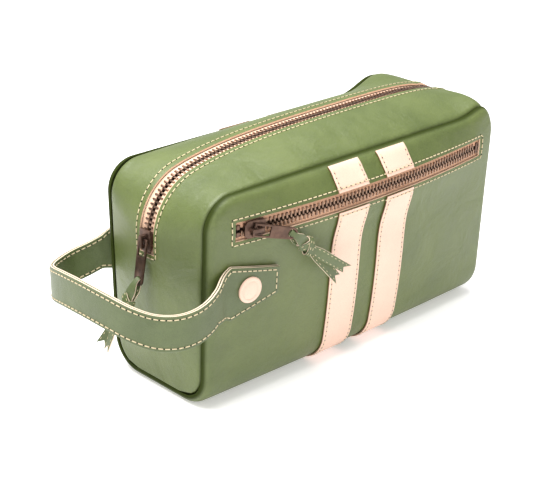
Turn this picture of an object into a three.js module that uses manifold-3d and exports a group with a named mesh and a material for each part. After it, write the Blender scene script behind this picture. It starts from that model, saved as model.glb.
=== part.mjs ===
// A zippered leather wash bag: a U-shaped wrap of leather, a zip gusset along its ends and top, a zipped
// front pocket, two contrast stripes and a carrying loop at the left end.
// Millimetres. +X along the bag with the loop at -X, the front pocket at -Y, +Z up, origin at the base's
// centre.
import * as THREE from 'three';
import { mergeVertices } from 'three/addons/utils/BufferGeometryUtils.js';
import Module from 'manifold-3d';

const wasm = await Module();
wasm.setup();

// ---------- Driving dimensions ----------
const BAG_LENGTH = 253;          // end seam to end seam
const BASE_DEPTH = 80;           // front seam to back seam at the foot
const SEAM_HEIGHT = 136.5;       // top seams above the base
const FRONT_LEAN = 6.5;          // how far the front top seam stands outside the foot
const BACK_LEAN = 1.5;           // the same at the back
const CORNER_RADIUS_LEFT = 20;   // top corners of the side panels, seen from the front
const CORNER_RADIUS_RIGHT = 14;
const FOOT_RADIUS = 17;          // lower corners of the end panels, seen from the end
const RIM = 5.5;                 // rolled leather rim beside a seam
const LEATHER = 1.8;             // leather thickness
const FRONT_BELLY = 6;           // how far the front panel swells
const POCKET_CREST = 9;          // extra swell along the pocket zip
const BACK_BELLY = 9;            // how far the back panel swells
const CROWN = 13.5;              // rise of the top from its seams to the zip
const END_SWELL = 5.5;           // how far an end panel swells
const ZIP_BEND_RADIUS = 40;      // bend of the top zip over the left corner
const SEAM_GAP = 0.3;            // clearance between sewn or touching pieces
const POCKET_ZIP_DROP = 21.5;    // middle of the pocket zip below the top seams
const POCKET_MARGIN = 17.5;      // leather left at each end of the pocket's window
const STRIPE_WIDTH = 25.5;
const STRIPE_SPACING = 16;       // bare leather between the stripes
const STRIPE_LEATHER = 1.2;
const POCKET_SLOT_ROOM = 0.8;    // window beyond each side of the pocket's slider
const TOP_SLOT_ROOM = 1.3;       // the same at the top zip
const ZIP_GAP = 1.8;             // between a zip's two rows of teeth, where the slider's post runs
const TOOTH_WIDTH = 3;           // across a row of teeth
const TOOTH_HEIGHT = 2.4;
const TAPE_WIDTH = 11;           // each tape, from its teeth to its sewn edge
const TAPE_THICKNESS = 0.8;
const STRAP_WIDTH = 22;
const STRAP_PLY = 1.45;          // each of the carrying strap's two plies
const STRAP_REACH = 66;          // loop's far end beyond the tabs
const TAB_LENGTH = 36;
const TAB_WIDE = 35;             // tab's width where the strap leaves it
const TAB_NARROW = 17.5;         // tab's width at its end
const TAB_HEIGHT = 77.5;         // middle of the tabs above the base
const DISC_RADIUS = 8.2;
const PULLER_LENGTH = 29;
const PULLER_WIDTH = 8.4;
const LACE_WIDTH = 7;
const TAIL_LENGTH = 34;          // tassel's tails beyond its knot

// ---------- Derived sizes ----------
const HALF = BAG_LENGTH / 2;
const FLAT = BASE_DEPTH / 2 - FOOT_RADIUS;
const FOOT_ARC = FOOT_RADIUS * Math.PI / 2;
const STRIPE_LIFT = SEAM_GAP + STRIPE_LEATHER;
const POCKET_ZIP_HEIGHT = SEAM_HEIGHT - POCKET_ZIP_DROP;
const CHAIN_EDGE = ZIP_GAP / 2 + TOOTH_WIDTH;
const RAIL_GAP = 0.5;            // between the teeth and a slider's rails
const SLIDER_RAIL = 0.7;         // thickness of a rail
const SLIDER_RIM = 0.1;          // slider's upper plate beyond its rails
const SLIDER_WIDTH = 2 * (CHAIN_EDGE + RAIL_GAP + SLIDER_RAIL + SLIDER_RIM);
const POCKET_SLOT = SLIDER_WIDTH + 2 * POCKET_SLOT_ROOM;
const TOP_SLOT = SLIDER_WIDTH + 2 * TOP_SLOT_ROOM;

const clamp = THREE.MathUtils.clamp;
const smooth = (x, a, b) => THREE.MathUtils.smoothstep(x, Math.min(a, b), Math.max(a, b));
const lerp = THREE.MathUtils.lerp;

// ---------- Solids ----------
const normalOf = (surface, a, b) => {
  const step = 0.02;
  const da = surface(a + step, b).sub(surface(a - step, b));
  const db = surface(a, b + step).sub(surface(a, b - step));
  return db.cross(da).normalize();
};

// A closed solid between two offsets of a surface. grid[j][i] holds the surface's parameters [a, b].
function sheet(surface, grid, from, to, skip = () => false) {
  const level = (offset) => grid.map((row) => row.map(
    ([a, b]) => surface(a, b).addScaledVector(normalOf(surface, a, b), offset)));
  const points = [level(to), level(from)];
  const rows = grid.length;
  const cols = grid[0].length;
  const solid = (i, j) => i >= 0 && j >= 0 && i < cols - 1 && j < rows - 1 && !skip(i, j);
  const positions = [];
  const quad = (...corners) => {
    for (const k of [0, 1, 2, 0, 2, 3]) {
      const [side, i, j] = corners[k];
      positions.push(...points[side][j][i].toArray());
    }
  };
  for (let j = 0; j < rows - 1; j += 1) {
    for (let i = 0; i < cols - 1; i += 1) {
      if (!solid(i, j)) continue;
      quad([0, i, j], [0, i, j + 1], [0, i + 1, j + 1], [0, i + 1, j]);
      quad([1, i, j], [1, i + 1, j], [1, i + 1, j + 1], [1, i, j + 1]);
      if (!solid(i, j - 1)) quad([0, i, j], [0, i + 1, j], [1, i + 1, j], [1, i, j]);
      if (!solid(i, j + 1)) quad([0, i + 1, j + 1], [0, i, j + 1], [1, i, j + 1], [1, i + 1, j + 1]);
      if (!solid(i - 1, j)) quad([0, i, j + 1], [0, i, j], [1, i, j], [1, i, j + 1]);
      if (!solid(i + 1, j)) quad([0, i + 1, j], [0, i + 1, j + 1], [1, i + 1, j + 1], [1, i + 1, j]);
    }
  }
  const geometry = new THREE.BufferGeometry();
  geometry.setAttribute('position', new THREE.Float32BufferAttribute(positions, 3));
  return mergeVertices(geometry, 1e-4);
}

function toManifold(geometry) {
  const clean = geometry.clone();
  clean.deleteAttribute('normal');
  clean.deleteAttribute('uv');
  const merged = mergeVertices(clean, 1e-4);
  return new wasm.Manifold(new wasm.Mesh({
    numProp: 3,
    vertProperties: new Float32Array(merged.attributes.position.array),
    triVerts: new Uint32Array(merged.index.array),
  }));
}

function fromManifold(manifold) {
  const mesh = manifold.getMesh();
  const geometry = new THREE.BufferGeometry();
  geometry.setAttribute('position', new THREE.BufferAttribute(new Float32Array(mesh.vertProperties), 3));
  geometry.setIndex(new THREE.BufferAttribute(new Uint32Array(mesh.triVerts), 1));
  return geometry;
}

const cut = (geometry, ...tools) => fromManifold(
  tools.reduce((body, tool) => body.subtract(toManifold(tool)), toManifold(geometry)));

// ---------- The bag's outer surface ----------
// The seams' depth and the way out of the leather, at arc length v from the base's middle, negative in
// front.
function section(v) {
  const s = Math.abs(v);
  const lean = (v < 0 ? FRONT_LEAN : BACK_LEAN) / (SEAM_HEIGHT - RIM);
  if (s < FLAT) return { y: s, z: RIM, ny: 0, nz: -1 };
  if (s < FLAT + FOOT_ARC) {
    const angle = (s - FLAT) / FOOT_RADIUS;
    const z = RIM + FOOT_RADIUS * (1 - Math.cos(angle));
    const y = FLAT + FOOT_RADIUS * Math.sin(angle) + lean * (z - RIM);
    return { y, z, ny: Math.sin(angle), nz: -Math.cos(angle) };
  }
  const z = RIM + FOOT_RADIUS + s - FLAT - FOOT_ARC;
  return { y: BASE_DEPTH / 2 + lean * (z - RIM), z, ny: 1, nz: 0 };
}

const wallArc = (z) => FLAT + FOOT_ARC + z - RIM - FOOT_RADIUS;

// Distance from a point of a side panel to the seam round it.
function edgeDistance(x, z) {
  const radius = x < 0 ? CORNER_RADIUS_LEFT : CORNER_RADIUS_RIGHT;
  const across = HALF - Math.abs(x);
  const down = SEAM_HEIGHT - z;
  if (across < radius && down < radius) return radius - Math.hypot(radius - across, radius - down);
  return Math.min(across, down);
}

function seamX(z, side) {
  const radius = side < 0 ? CORNER_RADIUS_LEFT : CORNER_RADIUS_RIGHT;
  const rise = Math.max(0, z - (SEAM_HEIGHT - radius));
  return side * (HALF - radius + Math.sqrt(Math.max(0, radius * radius - rise * rise)));
}

const arcHeight = (distance, radius) => {
  const t = 1 - clamp(distance / radius, 0, 1);
  return radius * Math.sqrt(1 - t * t);
};

const STRIPE_RAMP = 4;           // how far beside a stripe the leather under it returns to its level
const stripeStart = (k) => (k - 1) * STRIPE_WIDTH + (k - 0.5) * STRIPE_SPACING;

// 1 over a stripe, 0 away from it.
function overStripe(x) {
  return Math.max(...[0, 1].map((k) => {
    const middle = stripeStart(k) + STRIPE_WIDTH / 2;
    return 1 - smooth(Math.abs(x - middle), STRIPE_WIDTH / 2 + 0.5, STRIPE_WIDTH / 2 + STRIPE_RAMP);
  }));
}

const CREST_WIDTH = 13.6;        // spread of the extra swell up and down the front
const ZIP_BAND_WIDTH = 6;        // spread of the level band that the pocket zip lies on

function bulge(z, front) {
  const height = clamp((z - RIM) / (SEAM_HEIGHT - RIM), 0, 1);
  const belly = (front ? FRONT_BELLY : BACK_BELLY) * Math.sin(Math.PI * height) ** 0.7;
  const crest = front ? POCKET_CREST * Math.exp(-0.5 * ((z - POCKET_ZIP_HEIGHT) / CREST_WIDTH) ** 2) : 0;
  return (belly + crest) * (1 - height ** 16);
}
const zipSlope = bulge(POCKET_ZIP_HEIGHT + 0.5, true) - bulge(POCKET_ZIP_HEIGHT - 0.5, true);

// The leather's swell beyond its seams, upright along the pocket zip so that the slider needn't roll.
function swell(x, z, front) {
  const up = z - POCKET_ZIP_HEIGHT;
  const level = front ? zipSlope * up * Math.exp(-0.5 * (up / ZIP_BAND_WIDTH) ** 2) : 0;
  return (1 - (x / HALF) ** 2) * (bulge(z, front) - level);
}

// The wrap's outer surface: x along the bag, v the arc length from the base's middle, negative in front.
function wrapSkin(x, v) {
  const { y, z, ny, nz } = section(v);
  const rim = arcHeight(edgeDistance(x, z), RIM);
  const lift = STRIPE_LIFT * overStripe(x) * (1 - smooth(Math.abs(v), FLAT, FLAT + FOOT_ARC * 0.7));
  const offset = rim + swell(x, z, v < 0) - lift;
  const side = v < 0 ? -1 : 1;
  return new THREE.Vector3(x, side * (y + ny * offset), z + nz * offset);
}

const range = (count, from, to) => Array.from({ length: count }, (_, k) => lerp(from, to, k / (count - 1)));

// Rows of the wrap, from the front top seam round the base to the back top seam.
const WALL_STEPS = [0, 1.4, RIM, 9, 14, 18, 22, 27, 34, 44, 60, 80, 97];
const wallHeights = WALL_STEPS.map((down) => SEAM_HEIGHT - down).filter((z) => z > RIM + FOOT_RADIUS + 3);
const sideRows = [...wallHeights.map(wallArc), ...range(6, FLAT + FOOT_ARC, FLAT), FLAT / 2];
const wrapRows = [...sideRows.map((s) => -s), 0, ...sideRows.toReversed()];

const EDGE_STEPS = [0, 1.4, RIM, 12, 26];
const stripeSteps = [-STRIPE_RAMP, 0, STRIPE_WIDTH, STRIPE_WIDTH + STRIPE_RAMP];
const stripeColumns = [0, 1].flatMap((k) => stripeSteps.map((step) => stripeStart(k) + step));
function wrapColumns(v) {
  const { z } = section(v);
  const left = EDGE_STEPS.map((step) => seamX(z, -1) + step);
  const right = EDGE_STEPS.map((step) => seamX(z, 1) - step).toReversed();
  const betweenLeft = range(5, left.at(-1), stripeColumns[0]).slice(1, -1);
  const betweenRight = range(5, stripeColumns.at(-1), right[0]).slice(1, -1);
  return [...left, ...betweenLeft, ...stripeColumns, ...betweenRight, ...right];
}

const wrapGrid = wrapRows.map((v) => wrapColumns(v).map((x) => [x, v]));

// ---------- The gusset's outer surface ----------
const ZIP_BEND = { x: -(HALF + END_SWELL) + ZIP_BEND_RADIUS, z: SEAM_HEIGHT - 36, sweep: 75 };
const rightBend = { x: HALF - CORNER_RADIUS_RIGHT, z: SEAM_HEIGHT - CORNER_RADIUS_RIGHT };
const FOOT_GAP = 0.6;            // clearance round the gusset's rounded feet
const GUSSET_FOOT = RIM + FOOT_GAP;

// Parameter p: 0 at the left foot, 1 at the left corner's start, 2 at its end, 3 at the right corner's
// start, 4 at its end and 5 at the right foot. It gives the seam's point and the zip line's, in X and Z.
function gussetLines(p) {
  if (p <= 1) {
    const seamZ = lerp(GUSSET_FOOT, SEAM_HEIGHT - CORNER_RADIUS_LEFT, p);
    const zipZ = lerp(GUSSET_FOOT, ZIP_BEND.z, p);
    const out = END_SWELL * smooth(zipZ, GUSSET_FOOT, GUSSET_FOOT + 45);
    return [-HALF, seamZ, -HALF - out, zipZ];
  }
  if (p <= 2) {
    const angle = (p - 1) * Math.PI / 2;
    const bend = (p - 1) * THREE.MathUtils.degToRad(ZIP_BEND.sweep);
    return [
      -HALF + CORNER_RADIUS_LEFT * (1 - Math.cos(angle)),
      SEAM_HEIGHT - CORNER_RADIUS_LEFT * (1 - Math.sin(angle)),
      ZIP_BEND.x - ZIP_BEND_RADIUS * Math.cos(bend),
      ZIP_BEND.z + ZIP_BEND_RADIUS * Math.sin(bend),
    ];
  }
  if (p <= 3) {
    const t = p - 2;
    const sweep = THREE.MathUtils.degToRad(ZIP_BEND.sweep);
    const startX = ZIP_BEND.x - ZIP_BEND_RADIUS * Math.cos(sweep);
    const startZ = ZIP_BEND.z + ZIP_BEND_RADIUS * Math.sin(sweep);
    const endX = HALF - CORNER_RADIUS_RIGHT;
    const endZ = SEAM_HEIGHT + CROWN * 0.7;
    const seam = lerp(-HALF + CORNER_RADIUS_LEFT, endX, t);
    const x = lerp(startX, endX, t);
    const top = SEAM_HEIGHT + CROWN;
    const fromStart = Math.exp(-(x - startX) / ((top - startZ) / Math.tan(Math.PI / 2 - sweep)));
    const fromEnd = Math.exp(-(endX - x) / 16);
    return [seam, SEAM_HEIGHT, x, top - (top - startZ) * fromStart - (top - endZ) * fromEnd];
  }
  const swellRight = END_SWELL + 1.5;
  if (p <= 4) {
    const angle = (p - 3) * Math.PI / 2;
    const sin = Math.sin(angle);
    const cos = Math.cos(angle);
    return [
      rightBend.x + CORNER_RADIUS_RIGHT * sin,
      rightBend.z + CORNER_RADIUS_RIGHT * cos,
      rightBend.x + (CORNER_RADIUS_RIGHT + swellRight) * sin,
      rightBend.z + (CORNER_RADIUS_RIGHT + CROWN * 0.7) * cos,
    ];
  }
  const z = lerp(rightBend.z, GUSSET_FOOT, p - 4);
  const out = swellRight * smooth(z, GUSSET_FOOT, GUSSET_FOOT + 45);
  return [HALF, z, HALF + out, z];
}

const EDGE_ZONE = 7;             // width of a gusset's rolled edge band
const GUSSET_ROLL = 3;

// Half the gusset's width at a height, following the end panel's rounded foot.
function gussetHalfWidth(z, side) {
  const radius = FOOT_RADIUS - FOOT_GAP;
  const up = clamp(z - GUSSET_FOOT, 0, radius);
  const foot = FLAT + Math.sqrt(radius ** 2 - (radius - up) ** 2);
  const lean = side < 0 ? FRONT_LEAN : BACK_LEAN;
  return foot + lean * (z - RIM) / (SEAM_HEIGHT - RIM);
}

// Parameter q: 0 on the zip line, 0.25 at the slot's edge, 0.75 at the rolled edge band and 1 at the seam.
function gussetY(q, halfWidth) {
  const a = Math.abs(q);
  const inner = TOP_SLOT / 2;
  const outer = halfWidth - EDGE_ZONE;
  let y = halfWidth + (a - 1) * EDGE_ZONE * 4;
  if (a < 0.25) y = inner * a * 4;
  else if (a < 0.75) y = lerp(inner, outer, (a - 0.25) * 2);
  return -Math.sign(q) * y;
}

// The gusset's outer surface at station p, y off the zip line.
function gussetAt(p, y) {
  const [seamPx, seamPz, zipX, zipZ] = gussetLines(p);
  const halfWidth = gussetHalfWidth(seamPz, y);
  const share = 1 - Math.abs(clamp(y / halfWidth, -1, 1)) ** 2.2;
  const [aheadX, aheadZ] = gussetLines(p + 0.01);
  const [behindX, behindZ] = gussetLines(p - 0.01);
  const length = Math.hypot(aheadX - behindX, aheadZ - behindZ);
  const dip = GUSSET_ROLL - arcHeight(halfWidth - Math.abs(y), GUSSET_ROLL);
  const x = lerp(seamPx, zipX, share) + dip * (aheadZ - behindZ) / length;
  const z = lerp(seamPz, zipZ, share) - dip * (aheadX - behindX) / length;
  return new THREE.Vector3(x, y, z);
}

const gussetSkin = (p, q) => gussetAt(p, gussetY(q, gussetHalfWidth(gussetLines(p)[1], -q)));
// The same surface with y running from the back to the front, as sheet() needs.
const gussetBand = (p, w) => gussetAt(p, -w);

const gussetStations = [
  ...[0, 0.03, 0.1, 0.2, 0.35, 0.55, 0.75, 0.87, 0.91, 1],
  ...range(11, 1, 2).slice(1),
  ...[0.08, 0.18, 0.32, 0.5, 0.7, 0.85, 0.94, 1].map((t) => 2 + t),
  ...[0.25, 0.5, 0.75, 1].map((t) => 3 + t),
  ...[0.12, 0.25, 0.45, 0.65, 0.8, 0.9, 0.97, 1].map((t) => 4 + t),
];
const gussetSteps = [1, 0.965, 0.9, 0.75, 0.58, 0.4, 0.25];
const gussetRows = [...gussetSteps.map((q) => -q), 0, ...gussetSteps.toReversed()];
const SLOT_START = 0.91;
const SLOT_END = 4.25;
const gussetGrid = gussetRows.map((q) => gussetStations.map((p) => [p, q]));
const inSlot = (i, j) => Math.abs(gussetRows[j] + gussetRows[j + 1]) / 2 < 0.25
  && gussetStations[i] >= SLOT_START - 1e-6 && gussetStations[i + 1] <= SLOT_END + 1e-6;

// ---------- Placing solids ----------
// A local frame on the bag: x along, y across, z out of the surface.
function place(geometry, origin, along, out) {
  const x = along.clone().normalize();
  const z = out.clone().addScaledVector(x, -out.dot(x)).normalize();
  const y = new THREE.Vector3().crossVectors(z, x);
  const matrix = new THREE.Matrix4().makeBasis(x, y, z).setPosition(origin);
  return geometry.clone().applyMatrix4(matrix);
}

function block(x0, x1, y0, y1, z0, z1) {
  const geometry = new THREE.BoxGeometry(x1 - x0, y1 - y0, z1 - z0);
  return geometry.translate((x0 + x1) / 2, (y0 + y1) / 2, (z0 + z1) / 2);
}

const join = (first, ...others) => fromManifold(
  others.reduce((body, other) => body.add(toManifold(other)), toManifold(first)));

const COLOURS = {
  green_leather: { color: 0x61703f, roughness: 0.45, metalness: 0 },
  stripe_leather: { color: 0xefcfb4, roughness: 0.6, metalness: 0 },
  zip_tape: { color: 0xb98566, roughness: 0.9, metalness: 0 },
  antique_brass: { color: 0x4a342b, roughness: 0.4, metalness: 0.9 },
  lining: { color: 0x8a7a66, roughness: 0.95, metalness: 0 },
};
const bag = new THREE.Group();
function add(name, geometry, finish) {
  const mesh = new THREE.Mesh(geometry, new THREE.MeshStandardMaterial(COLOURS[finish]));
  mesh.name = name;
  bag.add(mesh);
}

const grid = (as, bs) => bs.map((b) => as.map((a) => [a, b]));
const side = (v) => (v < 0 ? -1 : 1);

// ---------- Pocket window and rivet holes ----------
const POCKET_HALF = HALF - POCKET_MARGIN;
const pocketWindow = block(
  -POCKET_HALF, POCKET_HALF, -BASE_DEPTH, -BASE_DEPTH / 4,
  POCKET_ZIP_HEIGHT - POCKET_SLOT / 2, POCKET_ZIP_HEIGHT + POCKET_SLOT / 2,
);
const TAB_X = -HALF + 13.5;                  // where the strap leaves the tabs
const DISC_X = TAB_X + 13.5;
const POST_RADIUS = 1.6;
const POST_CLEARANCE = 0.4;
const TAB_BASE = SEAM_GAP;                   // tab's underside above the leather
const TAB_TOP = TAB_BASE + 2 * STRAP_PLY + SEAM_GAP;
const tabArc = (v) => v * wallArc(TAB_HEIGHT);
const discFrame = (v) => ({
  origin: wrapSkin(DISC_X, tabArc(v)),
  out: normalOf(wrapSkin, DISC_X, tabArc(v)),
});

function onDisc(geometry, v) {
  const { origin, out } = discFrame(v);
  return place(geometry, origin, new THREE.Vector3(1, 0, 0), out);
}

const lathe = (profile, segments) => new THREE.LatheGeometry(
  profile.map(([r, z]) => new THREE.Vector2(r, z)), segments).rotateX(Math.PI / 2);
const holeRadius = POST_RADIUS + POST_CLEARANCE;
const rivetHole = lathe([[0, -10], [holeRadius, -10], [holeRadius, 10], [0, 10]], 16);

// ---------- Leather shell ----------
add('wrap_panel', cut(
  sheet(wrapSkin, wrapGrid, -LEATHER, 0),
  pocketWindow, onDisc(rivetHole, -1), onDisc(rivetHole, 1),
), 'green_leather');
add('zip_gusset', sheet(gussetSkin, gussetGrid, -LEATHER, 0, inSlot), 'green_leather');

// ---------- Stripes ----------
const STRIPE_NAMES = ['stripe_left', 'stripe_right'];
const STRIPE_MARGIN = 1;                     // bare leather between a stripe's ends and the top seams
const stripeRows = wrapRows.filter((v) => section(v).z <= SEAM_HEIGHT - STRIPE_MARGIN);
const windowBottom = -wallArc(POCKET_ZIP_HEIGHT - POCKET_SLOT / 2 + 5);
const windowTop = -wallArc(POCKET_ZIP_HEIGHT + POCKET_SLOT / 2 - 5);
STRIPE_NAMES.forEach((name, k) => {
  const columns = [stripeStart(k), stripeStart(k) + STRIPE_WIDTH];
  const upper = grid(columns, [...stripeRows.filter((v) => v < windowTop), windowTop]);
  const lower = grid(columns, [windowBottom, ...stripeRows.filter((v) => v > windowBottom)]);
  for (const [part, rows] of [['upper', upper], ['lower', lower]]) {
    const strip = sheet(wrapSkin, rows, SEAM_GAP, STRIPE_LIFT);
    add(`${name}_${part}`, cut(strip, pocketWindow), 'stripe_leather');
  }
});

// ---------- Lining ----------
const LINING = 0.8;
const LINING_MARGIN = 9;
const BACK_INSET = 4.2;
const FRONT_INSET = 10;

// The wrap without its rims, for what lies inside it.
function insideSkin(x, v, inset) {
  const { y, z, ny, nz } = section(v);
  const lift = STRIPE_LIFT * overStripe(x) * (1 - smooth(Math.abs(v), FLAT, FLAT + FOOT_ARC * 0.7));
  const offset = RIM + swell(x, z, v < 0) - lift - inset;
  return new THREE.Vector3(x, side(v) * (y + ny * offset), z + nz * offset);
}

function liningSkin(x, v) {
  const front = v < 0 ? smooth(-v, FLAT, FLAT + FOOT_ARC) : 0;
  return insideSkin(x, v, lerp(BACK_INSET, FRONT_INSET, front));
}

const liningHeights = wallHeights.filter((z, k) => z < SEAM_HEIGHT - LINING_MARGIN && k % 2 === 1);
const liningSide = [wallArc(SEAM_HEIGHT - LINING_MARGIN), ...liningHeights.map(wallArc),
  ...range(5, FLAT + FOOT_ARC, FLAT)];
const liningRows = [...liningSide.map((s) => -s), 0, ...liningSide.toReversed()];
const liningGrid = liningRows.map((v) => {
  const { z } = section(v);
  const left = seamX(z, -1) + LINING_MARGIN;
  const right = seamX(z, 1) - LINING_MARGIN;
  return [left, left + 20, ...stripeColumns, right - 20, right].map((x) => [x, v]);
});
add('lining_wrap', sheet(liningSkin, liningGrid, -LINING, 0), 'lining');

const GUSSET_INSET = 7;
const liningSteps = [0.72, 0.5, 0.25];
const liningGussetRows = [...liningSteps.map((q) => -q), 0, ...liningSteps.toReversed()];
const liningStations = gussetStations.filter((p) => p >= 0.1 && p <= 4.9);
const inLiningSlot = (i, j) => Math.abs(liningGussetRows[j] + liningGussetRows[j + 1]) / 2 < 0.25
  && liningStations[i] >= SLOT_START - 1e-6 && liningStations[i + 1] <= SLOT_END + 1e-6;
add('lining_gusset', sheet(
  gussetSkin, grid(liningStations, liningGussetRows), -GUSSET_INSET - LINING, -GUSSET_INSET, inLiningSlot,
), 'lining');

// ---------- Pocket pouch ----------
const POUCH_DEPTH = 72;                      // below the window
const POUCH_FRONT = 4.4;                     // its front wall's depth inside the leather
const POUCH_BACK = 7.9;
const pouchFold = POCKET_ZIP_HEIGHT - POUCH_DEPTH;
const pouchRadius = (POUCH_BACK - POUCH_FRONT) / 2;
const pouchArc = Math.PI * pouchRadius / 2;

// Down the pouch's front wall, round its fold at t = 0 and up its back wall.
function pouchSkin(x, t) {
  const up = Math.abs(t) - pouchArc;
  if (up > 0) return insideSkin(x, -wallArc(pouchFold + up), t < 0 ? POUCH_FRONT : POUCH_BACK);
  const angle = t / pouchRadius;
  const inset = POUCH_FRONT + pouchRadius * (1 + Math.sin(angle));
  return insideSkin(x, -wallArc(pouchFold - pouchRadius * Math.cos(angle)), inset);
}
const pouchColumns = [-POCKET_HALF - 3, -80, ...stripeColumns, 80, POCKET_HALF + 3];
const pouchHeights = wallHeights.filter((z) => z > pouchFold + 2);
const pouchLow = pouchHeights.filter((z) => z < POCKET_ZIP_HEIGHT - POCKET_SLOT / 2);
const pouchHigh = pouchHeights.filter((z) => z < POCKET_ZIP_HEIGHT + POCKET_SLOT / 2 + 6).toReversed();
const pouchRows = [
  ...pouchLow.map((z) => -pouchArc - (z - pouchFold)),
  ...range(7, -pouchArc, pouchArc),
  ...pouchHigh.map((z) => pouchArc + (z - pouchFold)),
];
add('pocket_pouch', sheet(pouchSkin, grid(pouchColumns, pouchRows), -0.25, 0.25), 'lining');

// ---------- Zips ----------
const TOOTH_START = ZIP_GAP / 2;
const TAPE_START = CHAIN_EDGE + SEAM_GAP;
const TAPE_END = TAPE_START + TAPE_WIDTH;
const TAPE_DEPTH = LEATHER + SEAM_GAP;       // tape's upper side below the leather's outer face
const TOOTH_TOP = TAPE_DEPTH + (TAPE_THICKNESS - TOOTH_HEIGHT) / 2;
const TOOTH_BOTTOM = TOOTH_TOP + TOOTH_HEIGHT;
const CHAIN_MARGIN = 4;                      // between the teeth and the window's ends
const STOP_LENGTH = 2.6;
const chainHalf = POCKET_HALF - CHAIN_MARGIN;
const stopEnd = chainHalf + SEAM_GAP + STOP_LENGTH;
const pocketArc = (up) => -wallArc(POCKET_ZIP_HEIGHT + up);
const wallColumns = wrapColumns(pocketArc(0));
const bandColumns = (a, b) => [a, ...wallColumns.filter((x) => x > a + 1 && x < b - 1), b];

// A strip along the pocket zip, from low to high above its middle line.
function pocketBand(x0, x1, low, high, top, bottom) {
  const rows = range(high - low > TAPE_WIDTH / 2 ? 4 : 2, pocketArc(high), pocketArc(low));
  return sheet(wrapSkin, grid(bandColumns(x0, x1), rows), -bottom, -top);
}
const tapeReach = POCKET_HALF + 5;
const tapeBottom = TAPE_DEPTH + TAPE_THICKNESS;
[['upper', 1], ['lower', -1]].forEach(([name, sign]) => {
  const span = (a, b) => (sign > 0 ? [a, b] : [-b, -a]);
  const tape = pocketBand(-tapeReach, tapeReach, ...span(TAPE_START, TAPE_END), TAPE_DEPTH, tapeBottom);
  const teeth = pocketBand(-chainHalf, chainHalf, ...span(TOOTH_START, CHAIN_EDGE), TOOTH_TOP, TOOTH_BOTTOM);
  const stop = pocketBand(
    -stopEnd, -stopEnd + STOP_LENGTH, ...span(TOOTH_START, CHAIN_EDGE), TOOTH_TOP, TOOTH_BOTTOM);
  add(`pocket_zip_tape_${name}`, tape, 'zip_tape');
  add(`pocket_zip_teeth_${name}`, teeth, 'antique_brass');
  add(`pocket_zip_stop_${name}`, stop, 'antique_brass');
});
add('pocket_zip_end_stop', pocketBand(
  stopEnd - STOP_LENGTH, stopEnd, -CHAIN_EDGE, CHAIN_EDGE, TOOTH_TOP, TOOTH_BOTTOM), 'antique_brass');

const topStations = (a, b) => [a, ...gussetStations.filter((p) => p > a + 0.02 && p < b - 0.02), b];
const topBand = (a, b, ws, top, bottom) => sheet(gussetBand, grid(topStations(a, b), ws), -bottom, -top);
const TOP_STOP_GAP = 0.035;                  // room for a stop at each end, in stations
const topTeeth = [SLOT_START + 0.01, SLOT_END - 0.06];
[['front', 1], ['back', -1]].forEach(([name, sign]) => {
  const span = (...steps) => (sign > 0 ? steps : steps.map((w) => -w).toReversed());
  const tapeSteps = span(TAPE_START, (TAPE_START + TAPE_END) / 2, TAPE_END);
  const teethSteps = span(TOOTH_START, CHAIN_EDGE);
  add(`top_zip_tape_${name}`, topBand(
    SLOT_START - 0.06, SLOT_END + 0.05, tapeSteps, TAPE_DEPTH, tapeBottom), 'zip_tape');
  add(`top_zip_teeth_${name}`, topBand(...topTeeth, teethSteps, TOOTH_TOP, TOOTH_BOTTOM), 'antique_brass');
  add(`top_zip_stop_${name}`, topBand(
    SLOT_START - TOP_STOP_GAP, SLOT_START, teethSteps, TAPE_DEPTH, TOOTH_BOTTOM), 'antique_brass');
});
add('top_zip_end_stop', topBand(
  SLOT_END - 0.05, SLOT_END - 0.02, [-CHAIN_EDGE, CHAIN_EDGE], TOOTH_TOP, TOOTH_BOTTOM), 'antique_brass');

// ---------- Sliders and pullers ----------
const SLIDER_LENGTH = 14;
const LOWER_PLATE_WIDTH = 2 * (CHAIN_EDGE + 0.6);  // clear of the tapes where they curve away
const SLIDER_CLEARANCE = 0.55;
const PLATE = 1.4;
const CROWN_HALF = 4;                        // half the length of the slider's bridge
const CROWN_WIDTH = 2.2;
const CROWN_FOOT = 1.6;                      // length of each foot of the bridge
const PULLER_THICKNESS = 1.2;
const PULLER_BAR = 1.3;
const PULLER_WINDOW = { length: 10, width: 5.8 };
const PULLER_HOLE = 2.4;
const plateBottom = -TOOTH_TOP + SLIDER_CLEARANCE;
const plateTop = plateBottom + PLATE;
const pivotHeight = plateTop + 1.2;
const pivotShift = 1.2;                      // the puller's bar beside the middle of the bridge

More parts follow.
